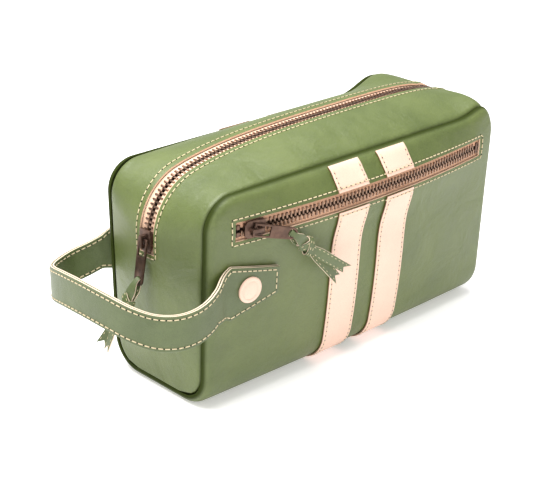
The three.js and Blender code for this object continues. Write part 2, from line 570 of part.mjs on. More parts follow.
// x towards the meshed teeth, y across, z out of the leather, its origin on the leather's outer face.
function sliderGeometry() {
  const half = SLIDER_LENGTH / 2;
  const outline = (nose, tail) => new THREE.Shape([
    [-half, -nose / 2 + 2], [-half + 2, -nose / 2], [0, -nose / 2], [half, -tail / 2],
    [half, tail / 2], [0, nose / 2], [-half + 2, nose / 2], [-half, nose / 2 - 2],
  ].map(([x, y]) => new THREE.Vector2(x, y)));
  const plate = (z, depth, width) => new THREE.ExtrudeGeometry(
    outline(width, width - 1.2), { depth, bevelEnabled: false }).translate(0, 0, z);
  const lowerTop = -TOOTH_BOTTOM - 1.5 * SLIDER_CLEARANCE;
  const post = block(-half + 0.6, -half + 3.4, -0.6, 0.6, lowerTop - 0.5, plateBottom + 0.5);
  const railMiddle = CHAIN_EDGE + RAIL_GAP + SLIDER_RAIL / 2;
  const railBottom = -TAPE_DEPTH + SLIDER_CLEARANCE;
  const rails = [-railMiddle, railMiddle].map((y) => block(
    -1, half - 0.4, y - SLIDER_RAIL / 2, y + SLIDER_RAIL / 2, railBottom, plateBottom + 0.3));
  const bridgeBottom = pivotHeight + 1.15;
  const width = CROWN_WIDTH / 2;
  const footMiddle = CROWN_HALF - CROWN_FOOT / 2;
  const feet = [-footMiddle, footMiddle].map((x) => block(
    x - CROWN_FOOT / 2, x + CROWN_FOOT / 2, -width, width, plateTop - 0.3, bridgeBottom + 0.3));
  const bridge = block(-CROWN_HALF, CROWN_HALF, -width, width, bridgeBottom, bridgeBottom + 1.3);
  const upperPlate = plate(plateBottom, PLATE, SLIDER_WIDTH);
  const lowerPlate = plate(lowerTop - 1, 1, LOWER_PLATE_WIDTH);
  return join(upperPlate, lowerPlate, post, ...rails, ...feet, bridge);
}

// x along the puller from its bar, z through its thickness.
function pullerGeometry() {
  const half = PULLER_WIDTH / 2;
  const end = PULLER_LENGTH - PULLER_WIDTH * 0.45;
  const outline = new THREE.Shape();
  outline.moveTo(-PULLER_BAR / 2, -half);
  outline.lineTo(PULLER_WINDOW.length + 1.5, -half);
  outline.lineTo(end, -half * 0.9);
  outline.absarc(end, 0, half * 0.9, -Math.PI / 2, Math.PI / 2, false);
  outline.lineTo(PULLER_WINDOW.length + 1.5, half);
  outline.lineTo(-PULLER_BAR / 2, half);
  outline.closePath();
  const frame = new THREE.Path();
  const inner = PULLER_WINDOW.width / 2;
  frame.moveTo(PULLER_BAR / 2, -inner);
  frame.lineTo(PULLER_BAR / 2, inner);
  frame.lineTo(PULLER_BAR / 2 + PULLER_WINDOW.length, inner);
  frame.lineTo(PULLER_BAR / 2 + PULLER_WINDOW.length, -inner);
  frame.closePath();
  const hole = new THREE.Path().absarc(end, 0, PULLER_HOLE, 0, 2 * Math.PI, true);
  outline.holes.push(frame, hole);
  const depth = PULLER_THICKNESS;
  const plate = new THREE.ExtrudeGeometry(outline, { depth, bevelEnabled: false, curveSegments: 10 });
  return plate.translate(0, 0, -depth / 2);
}
const PULLER_HOLE_X = PULLER_LENGTH - PULLER_WIDTH * 0.45;

// ---------- Lace tassels ----------
const LACE_THICKNESS = 1.1;
const LOOP_LENGTH = 11;
const KNOT = { length: 9, width: 9, height: 4.4 };
const TAIL_FAN = 0.1;                        // half the angle between the two tails

// x from the puller's hole along the tails, z out. The loop threads the hole; its legs end at the knot.
function tasselParts(tailLength) {
  const leg = PULLER_THICKNESS / 2 + LACE_THICKNESS / 2 + 1;
  const legs = [[LOOP_LENGTH, 0.85], [LOOP_LENGTH * 0.62, leg], [2.4, leg], [-0.5, 0.9]];
  const points = [...legs, ...legs.toReversed().map(([x, z]) => [x, -z])];
  const path = new THREE.CatmullRomCurve3(points.map(([x, z]) => new THREE.Vector3(x, 0, z)));
  const surface = (t, w) => {
    const { x, z } = path.getPoint(clamp(t, 0, 1));
    return new THREE.Vector3(x, w * lerp(1.4, LACE_WIDTH / 2, smooth(x, 1, LOOP_LENGTH * 0.8)), z);
  };
  const steps = range(19, 0.005, 0.995);
  const loop = sheet(surface, grid(steps, [-1, 1]), -LACE_THICKNESS / 2, LACE_THICKNESS / 2);
  const knotStart = LOOP_LENGTH + SEAM_GAP;
  const knotShape = new THREE.Shape();
  const w = KNOT.width / 2;
  const h = KNOT.height / 2;
  knotShape.setFromPoints(range(13, 0, 2 * Math.PI).slice(0, 12).map((a) => new THREE.Vector2(
    w * Math.cos(a), h * Math.sin(a))));
  const knot = new THREE.ExtrudeGeometry(knotShape, { depth: KNOT.length, bevelEnabled: false });
  knot.rotateX(Math.PI / 2).rotateZ(Math.PI / 2).translate(knotStart, 0, 0);
  const tailStart = knotStart + KNOT.length + SEAM_GAP;
  const tails = [1, -1].map((k) => {
    const half = LACE_WIDTH / 2;
    const outline = new THREE.Shape([
      [0, -half], [tailLength, -half], [tailLength - 4, 0], [tailLength, half], [0, half],
    ].map(([x, y]) => new THREE.Vector2(x, y)));
    const strip = new THREE.ExtrudeGeometry(outline, { depth: LACE_THICKNESS, bevelEnabled: false });
    const level = k > 0 ? SEAM_GAP / 2 : -SEAM_GAP / 2 - LACE_THICKNESS;
    return strip.rotateZ(k * TAIL_FAN).translate(tailStart + 0.4, 0, level);
  });
  return { loop, knot, tails };
}

function zipPull(name, slider, pullerAlong, tasselAlong, tailLength) {
  const { origin, along, out, pullerSide } = slider;
  const base = origin.clone().addScaledVector(along, pullerSide * pivotShift);
  const pivot = base.addScaledVector(out, pivotHeight);
  const hole = pivot.clone().addScaledVector(pullerAlong, PULLER_HOLE_X);
  add(`${name}_slider`, place(sliderGeometry(), origin, along, out), 'antique_brass');
  add(`${name}_puller`, place(pullerGeometry(), pivot, pullerAlong, out), 'antique_brass');
  const { loop, knot, tails } = tasselParts(tailLength);
  const pieces = { loop, knot, tail_upper: tails[0], tail_lower: tails[1] };
  for (const [piece, geometry] of Object.entries(pieces)) {
    add(`${name}_tassel_${piece}`, place(geometry, hole, tasselAlong, out), 'green_leather');
  }
}

const direction = (x, y, z) => new THREE.Vector3(x, y, z).normalize();
const pocketSliderX = -POCKET_HALF + 12.5;
const pocketNormal = normalOf(wrapSkin, pocketSliderX, pocketArc(0));
const pocketAlong = new THREE.Vector3(pocketNormal.y, -pocketNormal.x, 0).negate().normalize();
zipPull('pocket_zip', {
  origin: wrapSkin(pocketSliderX, pocketArc(0)), along: pocketAlong, out: pocketNormal, pullerSide: -1,
}, direction(0.955, -0.235, -0.274), direction(0.73, -0.06, -0.68), TAIL_LENGTH);
zipPull('top_zip', {
  origin: gussetAt(1, 0), along: new THREE.Vector3(0, 0, 1), out: new THREE.Vector3(-1, 0, 0), pullerSide: 1,
}, direction(-0.16, 0.02, -0.98), direction(-0.44, 0.2, -0.87), TAIL_LENGTH * 0.8);

// ---------- Carrying strap ----------
const TAB_POINTS = range(5, 0, 1).map((t) => [TAB_X + t * TAB_LENGTH, lerp(TAB_WIDE, TAB_NARROW, t) / 2]);
const tabGrid = (v) => [-1, -1 / 3, 1 / 3, 1].map((k) => TAB_POINTS.map(
  ([x, half]) => [x, v * wallArc(TAB_HEIGHT + v * k * half)]));

const strapOut = wrapSkin(TAB_X, tabArc(-1)).y - TAB_BASE - STRAP_PLY;
const backShare = (wrapSkin(TAB_X, tabArc(1)).y + TAB_BASE + STRAP_PLY) / -strapOut;
// Half of the loop: its reach beyond the tabs, depth and drop, as shares of the whole reach, the tabs'
// depth and the whole reach.
const LOOP_POINTS = [
  [0.01, 1, 0.01], [0.16, 1.06, 0.035], [0.32, 1.12, 0.09], [0.49, 1.14, 0.12], [0.66, 1.08, 0.13],
  [0.81, 0.94, 0.11], [0.92, 0.72, 0.06], [0.98, 0.4, 0.01], [1, 0, -0.01],
];
const loopPoint = ([reach, depth, drop], share) => new THREE.Vector3(
  TAB_X - reach * STRAP_REACH, strapOut * depth * share, TAB_HEIGHT - drop * STRAP_REACH);
const loopPath = new THREE.CatmullRomCurve3([
  ...LOOP_POINTS.map((point) => loopPoint(point, 1)),
  ...LOOP_POINTS.slice(0, -1).toReversed().map((point) => loopPoint(point, -backShare)),
]);
const loopLength = loopPath.getLength();
const strapHalf = STRAP_WIDTH / 2;
const STRAP_END_GAP = 1.5;                   // room for the strap's round ends to turn beside the tabs

// Round ends on the strap let it turn beside the tabs.
function strapSkin(s, w) {
  const point = loopPath.getPointAt(clamp(s / loopLength, 0, 1));
  const fromEnd = Math.min(s, loopLength - s) - STRAP_END_GAP;
  const round = arcHeight(fromEnd, strapHalf);
  return new THREE.Vector3(point.x, point.y, point.z - w * round);
}
const strapSteps = [0.8, 3, 7, strapHalf].map((step) => STRAP_END_GAP + step);
const strapStations = [
  ...strapSteps,
  ...range(19, strapSteps.at(-1), loopLength - strapSteps.at(-1)).slice(1, -1),
  ...strapSteps.toReversed().map((s) => loopLength - s),
];
const plyGap = SEAM_GAP / 2;
add('strap_outer_ply', sheet(
  strapSkin, grid(strapStations, [-1, 0, 1]), -plyGap - STRAP_PLY, -plyGap), 'green_leather');
add('strap_inner_ply', sheet(
  strapSkin, grid(strapStations, [-1, 0, 1]), plyGap, plyGap + STRAP_PLY), 'green_leather');

[['front', -1], ['back', 1]].forEach(([name, v]) => {
  const leather = cut(sheet(wrapSkin, tabGrid(v), TAB_BASE, TAB_TOP), onDisc(rivetHole, v));
  add(`strap_tab_${name}`, leather, 'green_leather');
  const cap = 1.6;
  const bore = 0.6;
  const capBottom = TAB_TOP + 3 * SEAM_GAP;
  const disc = lathe([
    [0, capBottom + bore], [holeRadius, capBottom + bore], [holeRadius, capBottom], [DISC_RADIUS, capBottom],
    [DISC_RADIUS, capBottom + cap * 0.6], [DISC_RADIUS - 0.8, capBottom + cap], [0, capBottom + cap],
  ], 28);
  const washerTop = -LEATHER - 2.5 * SEAM_GAP;
  const rivet = lathe([
    [0, washerTop - 0.9], [5, washerTop - 0.9], [5, washerTop], [POST_RADIUS, washerTop],
    [POST_RADIUS, capBottom + bore - SEAM_GAP], [0, capBottom + bore - SEAM_GAP],
  ], 16);
  add(`rivet_disc_${name}`, onDisc(disc, v), 'stripe_leather');
  add(`rivet_post_${name}`, onDisc(rivet, v), 'antique_brass');
});

export default bag;
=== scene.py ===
# %% [markdown]
# # A zippered leather wash bag
# We load the bag's plain solids first. They stay where they are, and every piece modelled here is laid over
# one of them and moves with the same body. All lengths in the formulas are millimetres.

# %% Load the frame
import math

import bmesh
import bpy
import numpy as np
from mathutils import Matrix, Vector


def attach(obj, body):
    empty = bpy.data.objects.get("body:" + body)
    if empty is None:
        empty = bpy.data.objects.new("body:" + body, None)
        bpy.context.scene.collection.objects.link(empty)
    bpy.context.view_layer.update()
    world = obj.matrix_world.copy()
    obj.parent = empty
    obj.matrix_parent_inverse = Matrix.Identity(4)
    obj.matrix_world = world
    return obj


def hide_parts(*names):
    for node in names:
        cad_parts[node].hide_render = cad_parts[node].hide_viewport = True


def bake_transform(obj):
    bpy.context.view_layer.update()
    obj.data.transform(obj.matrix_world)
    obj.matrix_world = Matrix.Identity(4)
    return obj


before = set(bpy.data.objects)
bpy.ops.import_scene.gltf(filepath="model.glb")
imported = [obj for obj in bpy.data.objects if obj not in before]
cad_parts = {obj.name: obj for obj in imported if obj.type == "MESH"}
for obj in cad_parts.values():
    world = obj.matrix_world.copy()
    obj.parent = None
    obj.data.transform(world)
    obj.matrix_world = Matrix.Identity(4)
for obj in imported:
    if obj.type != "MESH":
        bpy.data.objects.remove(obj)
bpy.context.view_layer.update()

# %% [markdown]
# ## The bag's sizes
# The visible skins follow the same surfaces as the solids, so the same sizes are needed here.

# %% Sizes
MM = 0.001
BAG_LENGTH, BASE_DEPTH, SEAM_HEIGHT = 253.0, 80.0, 136.5
FRONT_LEAN, BACK_LEAN = 6.5, 1.5
CORNER_LEFT, CORNER_RIGHT, FOOT_RADIUS, RIM = 20.0, 14.0, 17.0, 5.5
LEATHER, SEAM_GAP = 1.8, 0.3
FRONT_BELLY, POCKET_CREST, BACK_BELLY, CREST_WIDTH = 6.0, 9.0, 9.0, 13.6
CROWN, END_SWELL, ZIP_BEND_RADIUS = 13.5, 5.5, 40.0
POCKET_ZIP_HEIGHT, POCKET_MARGIN, POCKET_SLOT, TOP_SLOT = 115.0, 17.5, 12.0, 13.0
STRIPE_WIDTH, STRIPE_SPACING, STRIPE_LEATHER, STRIPE_RAMP = 25.5, 16.0, 1.2, 4.0
ZIP_GAP, TOOTH_WIDTH, TOOTH_HEIGHT = 1.8, 3.0, 2.4
TAPE_WIDTH, TAPE_THICKNESS = 11.0, 0.8
STRAP_WIDTH, STRAP_PLY, STRAP_REACH = 22.0, 1.45, 66.0
TAB_LENGTH, TAB_WIDE, TAB_NARROW, TAB_HEIGHT = 36.0, 35.0, 17.5, 77.5
PULLER_LENGTH, PULLER_WIDTH, LACE_WIDTH = 29.0, 8.4, 7.0
HALF = BAG_LENGTH / 2
FLAT = BASE_DEPTH / 2 - FOOT_RADIUS
FOOT_ARC = FOOT_RADIUS * math.pi / 2
STRIPE_LIFT = SEAM_GAP + STRIPE_LEATHER
POCKET_HALF = HALF - POCKET_MARGIN
TAPE_DEPTH = LEATHER + SEAM_GAP
print("bag", BAG_LENGTH, "x", BASE_DEPTH, "mm at the base")


# %% [markdown]
# ## Surfaces as formulas
# Each skin is a function from two numbers to a point. The wrap is measured by x along the bag and by the arc
# length v from the middle of the base, negative in front.

# %% The wrap's surface
def smooth(x, low, high):
    t = np.clip((x - low) / (high - low), 0, 1)
    return t * t * (3 - 2 * t)


def lerp(a, b, t):
    return a + (b - a) * t


def section(v):
    s = np.abs(v)
    lean = np.where(v < 0, FRONT_LEAN, BACK_LEAN) / (SEAM_HEIGHT - RIM)
    angle = np.clip((s - FLAT) / FOOT_RADIUS, 0, math.pi / 2)
    wall = np.maximum(0, s - FLAT - FOOT_ARC)
    z = RIM + FOOT_RADIUS * (1 - np.cos(angle)) + wall
    y = np.minimum(s, FLAT) + FOOT_RADIUS * np.sin(angle) + lean * (z - RIM)
    return y, z, np.sin(angle), -np.cos(angle) * (wall <= 0)


def wall_arc(z):
    return FLAT + FOOT_ARC + z - RIM - FOOT_RADIUS


def edge_distance(x, z):
    radius = np.where(x < 0, CORNER_LEFT, CORNER_RIGHT)
    across, down = HALF - np.abs(x), SEAM_HEIGHT - z
    corner = radius - np.hypot(radius - across, radius - down)
    return np.where((across < radius) & (down < radius), corner, np.minimum(across, down))


def seam_x(z, side):
    radius = CORNER_LEFT if side < 0 else CORNER_RIGHT
    rise = np.maximum(0, z - (SEAM_HEIGHT - radius))
    return side * (HALF - radius + np.sqrt(np.maximum(0, radius * radius - rise * rise)))


def arc_height(distance, radius):
    t = 1 - np.clip(distance / radius, 0, 1)
    return radius * np.sqrt(1 - t * t)


def stripe_start(k):
    return (k - 1) * STRIPE_WIDTH + (k - 0.5) * STRIPE_SPACING


def over_stripe(x):
    over = 0
    for k in (0, 1):
        away = np.abs(x - stripe_start(k) - STRIPE_WIDTH / 2)
        over = np.maximum(over, 1 - smooth(away, STRIPE_WIDTH / 2 + 0.5, STRIPE_WIDTH / 2 + STRIPE_RAMP))
    return over


def bulge(z, front):
    height = np.clip((z - RIM) / (SEAM_HEIGHT - RIM), 0, 1)
    belly = np.where(front, FRONT_BELLY, BACK_BELLY) * np.sin(math.pi * height) ** 0.7
    crest = POCKET_CREST * np.exp(-0.5 * ((z - POCKET_ZIP_HEIGHT) / CREST_WIDTH) ** 2) * front
    return (belly + crest) * (1 - height ** 16)


ZIP_BAND_WIDTH = 6.0
ZIP_SLOPE = bulge(POCKET_ZIP_HEIGHT + 0.5, True) - bulge(POCKET_ZIP_HEIGHT - 0.5, True)


def swell(x, z, front):
    up = z - POCKET_ZIP_HEIGHT
    level = ZIP_SLOPE * up * np.exp(-0.5 * (up / ZIP_BAND_WIDTH) ** 2) * front
    return (1 - (x / HALF) ** 2) * (bulge(z, front) - level)


# The soft top corners at the right stand up a little: x, side, rise and spread of each
EARS = ((105.0, 1, 9.5, 13.0), (118.0, -1, 5.0, 10.0))
EAR_INNER_Y, EAR_OUTER_Y = 10.0, 42.0
EAR_FOOT, EAR_TOP = 122.0, 138.0


def with_ears(points):
    x, y, z = points[..., 0], points[..., 1], points[..., 2]
    rise = 0
    for ear_x, side, height, spread in EARS:
        along = np.exp(-0.5 * ((x - ear_x) / spread) ** 2)
        near_side = smooth(side * y, EAR_INNER_Y, EAR_OUTER_Y)
        rise = rise + height * along * near_side * smooth(z, EAR_FOOT, EAR_TOP)
    return np.stack([x, y, z + rise], -1)


def wrap_skin(x, v):
    y, z, ny, nz = section(v)
    rim = arc_height(edge_distance(x, z), RIM)
    lift = STRIPE_LIFT * over_stripe(x) * (1 - smooth(np.abs(v), FLAT, FLAT + FOOT_ARC * 0.7))
    offset = rim + swell(x, z, v < 0) - lift
    return with_ears(np.stack([x, np.where(v < 0, -1, 1) * (y + ny * offset), z + nz * offset], -1))


print("front at mid height", wrap_skin(np.array(0.0), np.array(-wall_arc(70.0))))

# %% [markdown]
# The gusset is the strip along both ends and the top. Its station p runs from the left foot (0) over the top
# to the right foot (5), and y runs across it.

# %% The gusset's surface
BEND_X, BEND_Z = -(HALF + END_SWELL) + ZIP_BEND_RADIUS, SEAM_HEIGHT - 36
SWEEP = math.radians(75)
FOOT_GAP, EDGE_ZONE, GUSSET_ROLL = 0.6, 7.0, 3.0
GUSSET_FOOT = RIM + FOOT_GAP
SLOT_START, SLOT_END = 0.91, 4.25


def gusset_lines(p):
    top, end_x, end_z = SEAM_HEIGHT + CROWN, HALF - CORNER_RIGHT, SEAM_HEIGHT + CROWN * 0.7
    start_x, start_z = BEND_X - ZIP_BEND_RADIUS * math.cos(SWEEP), BEND_Z + ZIP_BEND_RADIUS * math.sin(SWEEP)
    swell_right = END_SWELL + 1.5
    z0 = lerp(GUSSET_FOOT, BEND_Z, p)
    t1, t3 = np.clip(p - 1, -0.2, 1.2) * math.pi / 2, np.clip(p - 3, -0.2, 1.2) * math.pi / 2
    x2 = lerp(start_x, end_x, p - 2)
    from_start = np.exp(-(x2 - start_x) / ((top - start_z) / math.tan(math.pi / 2 - SWEEP)))
    from_end = np.exp(-np.maximum(end_x - x2, -5) / 16)
    z4 = lerp(SEAM_HEIGHT - CORNER_RIGHT, GUSSET_FOOT, p - 4)
    legs = [
        (-HALF + 0 * p, lerp(GUSSET_FOOT, SEAM_HEIGHT - CORNER_LEFT, p),
         -HALF - END_SWELL * smooth(z0, GUSSET_FOOT, GUSSET_FOOT + 45), z0),
        (-HALF + CORNER_LEFT * (1 - np.cos(t1)), SEAM_HEIGHT - CORNER_LEFT * (1 - np.sin(t1)),
         BEND_X - ZIP_BEND_RADIUS * np.cos((p - 1) * SWEEP),
         BEND_Z + ZIP_BEND_RADIUS * np.sin((p - 1) * SWEEP)),
        (lerp(-HALF + CORNER_LEFT, end_x, p - 2), SEAM_HEIGHT + 0 * p,
         x2, top - (top - start_z) * from_start - (top - end_z) * from_end),
        (end_x + CORNER_RIGHT * np.sin(t3), SEAM_HEIGHT - CORNER_RIGHT * (1 - np.cos(t3)),
         end_x + (CORNER_RIGHT + swell_right) * np.sin(t3),
         SEAM_HEIGHT - CORNER_RIGHT + (CORNER_RIGHT + CROWN * 0.7) * np.cos(t3)),
        (HALF + 0 * p, z4, HALF + swell_right * smooth(z4, GUSSET_FOOT, GUSSET_FOOT + 45), z4),
    ]
    inside = [p <= 1, p <= 2, p <= 3, p <= 4, p <= 9]
    return [np.select(inside, [leg[k] for leg in legs]) for k in range(4)]


def gusset_half_width(z, front):
    radius = FOOT_RADIUS - FOOT_GAP
    up = np.clip(z - GUSSET_FOOT, 0, radius)
    foot = FLAT + np.sqrt(radius ** 2 - (radius - up) ** 2)
    return foot + np.where(front, FRONT_LEAN, BACK_LEAN) * (z - RIM) / (SEAM_HEIGHT - RIM)


def gusset_at(p, y):
    seam_px, seam_pz, zip_x, zip_z = gusset_lines(p)
    half = gusset_half_width(seam_pz, y < 0)
    share = 1 - np.abs(np.clip(y / half, -1, 1)) ** 2.2
    ahead, behind = gusset_lines(p + 0.01), gusset_lines(p - 0.01)
    dx, dz = ahead[0] - behind[0], ahead[1] - behind[1]
    length = np.hypot(dx, dz)
    dip = GUSSET_ROLL - arc_height(half - np.abs(y), GUSSET_ROLL)
    x = lerp(seam_px, zip_x, share) + dip * dz / length
    z = lerp(seam_pz, zip_z, share) - dip * dx / length
    return with_ears(np.stack([x, y + 0 * x, z], -1))


def gusset_skin(p, q):
    half = gusset_half_width(gusset_lines(p)[1], q > 0)
    a = np.abs(q)
    outer = half - EDGE_ZONE
    y = half + (a - 1) * EDGE_ZONE * 4
    y = np.where(a < 0.75, lerp(TOP_SLOT / 2, outer, (a - 0.25) * 2), y)
    y = np.where(a < 0.25, TOP_SLOT / 2 * a * 4, y)
    return gusset_at(p, -np.sign(q) * y)


def gusset_band(p, w):
    return gusset_at(p, -w)


print("crown", gusset_at(np.array(2.5), np.array(0.0)))


# %% [markdown]
# ## Turning a surface into a piece of leather
# `shell` walks a grid over a surface and closes it into a thin solid. Quads on its cut edge get the value 1
# in the face attribute `raw`, and a material can colour those faces differently.

# %% Shells
def normal_of(surface, a, b):
    step = 0.02
    da = surface(a + step, b) - surface(a - step, b)
    db = surface(a, b + step) - surface(a, b - step)
    n = np.cross(db, da)
    return n / np.linalg.norm(n, axis=-1, keepdims=True)


def make_object(name, verts, faces, raw=None, uv=None, shade=None):
    mesh = bpy.data.meshes.new(name)
    mesh.from_pydata((np.asarray(verts) * MM).tolist(), [], faces)
    if raw is not None:
        mesh.attributes.new("raw", "FLOAT", "FACE").data.foreach_set("value", np.asarray(raw, np.float32))
    if uv is not None:
        layer = mesh.attributes.new("strand", "FLOAT_VECTOR", "POINT")
        layer.data.foreach_set("vector", np.asarray(uv, np.float32).ravel())
    # Painted shade: a per-point value that darkens the leather next to the seams.
    if shade is not None:
        painted_seam_shade = mesh.attributes.new("painted_seam_shade", "FLOAT", "POINT")
        painted_seam_shade.data.foreach_set("value", np.asarray(shade, np.float32))
    mesh.update()
    mesh.shade_smooth()
    mesh.set_sharp_from_angle(angle=math.radians(38))
    obj = bpy.data.objects.new(name, mesh)
    bpy.context.scene.collection.objects.link(obj)
    return obj


def shell(name, surface, a, b, low, high, skip=None, bevel=0.0, painted_seam_shade=None):
    rows, cols = a.shape
    points, normals = surface(a, b), normal_of(surface, a, b)
    keep = np.ones((rows - 1, cols - 1), bool) if skip is None else ~skip
    padded = np.pad(keep, 1)
    counts = padded[:-1, :-1].astype(int) + padded[1:, :-1] + padded[:-1, 1:] + padded[1:, 1:]
    inset = np.where(counts < 4, bevel, 0.0)[..., None]
    verts = np.concatenate([
        (points + normals * (high - inset)).reshape(-1, 3),
        (points + normals * (low + inset)).reshape(-1, 3)])
    uv = np.concatenate([np.stack([a, b, 0 * a], -1).reshape(-1, 3)] * 2)
    index = np.arange(rows * cols).reshape(rows, cols)
    under = rows * cols
    faces, raw = [], []

    def quad(flag, *corners):
        faces.append(corners)
        raw.append(flag)

    for j, i in np.argwhere(keep).tolist():
        p00, p01, p10, p11 = (int(k) for k in index[j:j + 2, i:i + 2].ravel())
        quad(0, p00, p10, p11, p01)
        quad(0, p00 + under, p01 + under, p11 + under, p10 + under)
        if not padded[j, i + 1]:
            quad(1, p00, p01, p01 + under, p00 + under)
        if not padded[j + 2, i + 1]:
            quad(1, p11, p10, p10 + under, p11 + under)
        if not padded[j + 1, i]:
            quad(1, p10, p00, p00 + under, p10 + under)
        if not padded[j + 1, i + 2]:
            quad(1, p01, p11, p11 + under, p01 + under)
    used = np.unique(np.array(faces).ravel())
    renumber = np.full(len(verts), -1)
    renumber[used] = np.arange(len(used))
    faces = [tuple(int(renumber[k]) for k in f) for f in faces]
    # The painted seam shade goes on both faces of the shell.
    shade = None if painted_seam_shade is None else np.concatenate([painted_seam_shade.ravel()] * 2)[used]
    return make_object(name, verts[used], faces, raw, uv[used], shade)


def finish_piece(obj, material, body, slot, *nodes):
    obj.data.materials.clear()
    obj.data.materials.append(material)
    if body:
        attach(obj, body)
    if nodes:
        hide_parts(*nodes)
    return obj


def spaced(low, high, step, extra=()):
    inner = np.linspace(low, high, max(2, int(round((high - low) / step)) + 1))
    for value in extra:
        inner = np.append(inner[np.abs(inner - value) > step * 0.4], value)
    return np.sort(inner)


print("shell helper ready")

# %% [markdown]
# ## Materials
# Every finish is built from noise and Voronoi textures in object coordinates, so it needs no image.


# %% Materials
def new_material(name):
    material = bpy.data.materials.new(name)
    material.use_nodes = True
    nodes, links = material.node_tree.nodes, material.node_tree.links
    return material, nodes, links, nodes["Principled BSDF"]


def add_node(nodes, kind, **values):
    node = nodes.new(kind)
    for key, value in values.items():
        if key in node.inputs:
            node.inputs[key].default_value = value
        else:
            setattr(node, key, value)
    return node


def mix_colours(nodes, links, factor, first, second):
    mix = nodes.new("ShaderNodeMix")
    mix.data_type = "RGBA"
    for socket, value in ((mix.inputs[0], factor), (mix.inputs[6], first), (mix.inputs[7], second)):
        if isinstance(value, bpy.types.NodeSocket):
            links.new(value, socket)
        else:
            socket.default_value = value
    return mix.outputs[2]


def leather(name, colour, dark, raw_colour, roughness, grain=0.5, grain_scale=800.0, coat=0.15):
    material, nodes, links, shader = new_material(name)
    place = nodes.new("ShaderNodeTexCoord").outputs["Object"]
    tone = add_node(nodes, "ShaderNodeTexNoise", Scale=28.0, Detail=5.0, Roughness=0.62)
    cells = add_node(nodes, "ShaderNodeTexVoronoi", Scale=grain_scale, feature="DISTANCE_TO_EDGE")
    fine = add_node(nodes, "ShaderNodeTexNoise", Scale=grain_scale * 0.45, Detail=4.0, Roughness=0.6)
    warp = add_node(nodes, "ShaderNodeTexNoise", Scale=220.0, Detail=2.0)
    for node in (tone, fine, warp):
        links.new(place, node.inputs["Vector"])
    shift = add_node(nodes, "ShaderNodeVectorMath", operation="SCALE", Scale=0.004)
    moved = add_node(nodes, "ShaderNodeVectorMath", operation="ADD")
    links.new(warp.outputs["Color"], shift.inputs[0])
    links.new(place, moved.inputs[0])
    links.new(shift.outputs[0], moved.inputs[1])
    links.new(moved.outputs[0], cells.inputs["Vector"])
    spread = add_node(nodes, "ShaderNodeMapRange")
    spread.inputs["From Min"].default_value = 0.3
    spread.inputs["From Max"].default_value = 0.72
    links.new(tone.outputs["Fac"], spread.inputs["Value"])
    face = mix_colours(nodes, links, spread.outputs["Result"], dark, colour)
    crease = add_node(nodes, "ShaderNodeMapRange")
    crease.inputs["From Max"].default_value = 0.12
    crease.inputs["To Min"].default_value = 0.72
    links.new(cells.outputs["Distance"], crease.inputs["Value"])
    shade = add_node(nodes, "ShaderNodeMix", data_type="RGBA", blend_type="MULTIPLY")
    shade.inputs[0].default_value = 0.55
    links.new(face, shade.inputs[6])
    links.new(crease.outputs["Result"], shade.inputs[7])
    edge = add_node(nodes, "ShaderNodeAttribute", attribute_name="raw")
    fibres = add_node(nodes, "ShaderNodeTexNoise", Scale=1500.0, Detail=3.0)
    links.new(place, fibres.inputs["Vector"])
    raw_dark = tuple(c * 0.62 for c in raw_colour[:3]) + (1,)
    raw_face = mix_colours(nodes, links, fibres.outputs["Fac"], raw_dark, raw_colour)
    cut = mix_colours(nodes, links, edge.outputs["Fac"], shade.outputs[2], raw_face)
    # Painted shade: by the seams the colour goes to 0.4 of the dark tone and the gloss drops to zero.
    painted_seam_shade = add_node(nodes, "ShaderNodeAttribute", attribute_name="painted_seam_shade")
    seam_shade_colour = tuple(c * 0.4 for c in dark[:3]) + (1,)
    links.new(mix_colours(nodes, links, painted_seam_shade.outputs["Fac"], cut, seam_shade_colour), shader.inputs["Base Color"])
    gloss = add_node(nodes, "ShaderNodeMapRange")
    gloss.inputs["To Min"].default_value = 0.5
    gloss.inputs["To Max"].default_value = 0.0
    links.new(painted_seam_shade.outputs["Fac"], gloss.inputs["Value"])
    links.new(gloss.outputs["Result"], shader.inputs["Specular IOR Level"])
    rough = add_node(nodes, "ShaderNodeMapRange")
    rough.inputs["To Min"].default_value = roughness - 0.08
    rough.inputs["To Max"].default_value = roughness + 0.1
    links.new(tone.outputs["Fac"], rough.inputs["Value"])
    links.new(rough.outputs["Result"], shader.inputs["Roughness"])
    heights = add_node(nodes, "ShaderNodeMix", data_type="FLOAT")
    heights.inputs[0].default_value = 0.45
    links.new(crease.outputs["Result"], heights.inputs[2])
    links.new(fine.outputs["Fac"], heights.inputs[3])
    waves = add_node(nodes, "ShaderNodeTexNoise", Scale=34.0, Detail=3.0, Roughness=0.5, Distortion=0.6)
    links.new(place, waves.inputs["Vector"])
    hills = add_node(nodes, "ShaderNodeBump", Strength=grain, Distance=0.004)
    links.new(waves.outputs["Fac"], hills.inputs["Height"])
    bump = add_node(nodes, "ShaderNodeBump", Strength=grain, Distance=0.0007)
    links.new(hills.outputs["Normal"], bump.inputs["Normal"])
    links.new(heights.outputs[0], bump.inputs["Height"])
    links.new(bump.outputs["Normal"], shader.inputs["Normal"])
    shader.inputs["Coat Weight"].default_value = coat
    shader.inputs["Coat Roughness"].default_value = 0.38
    return material


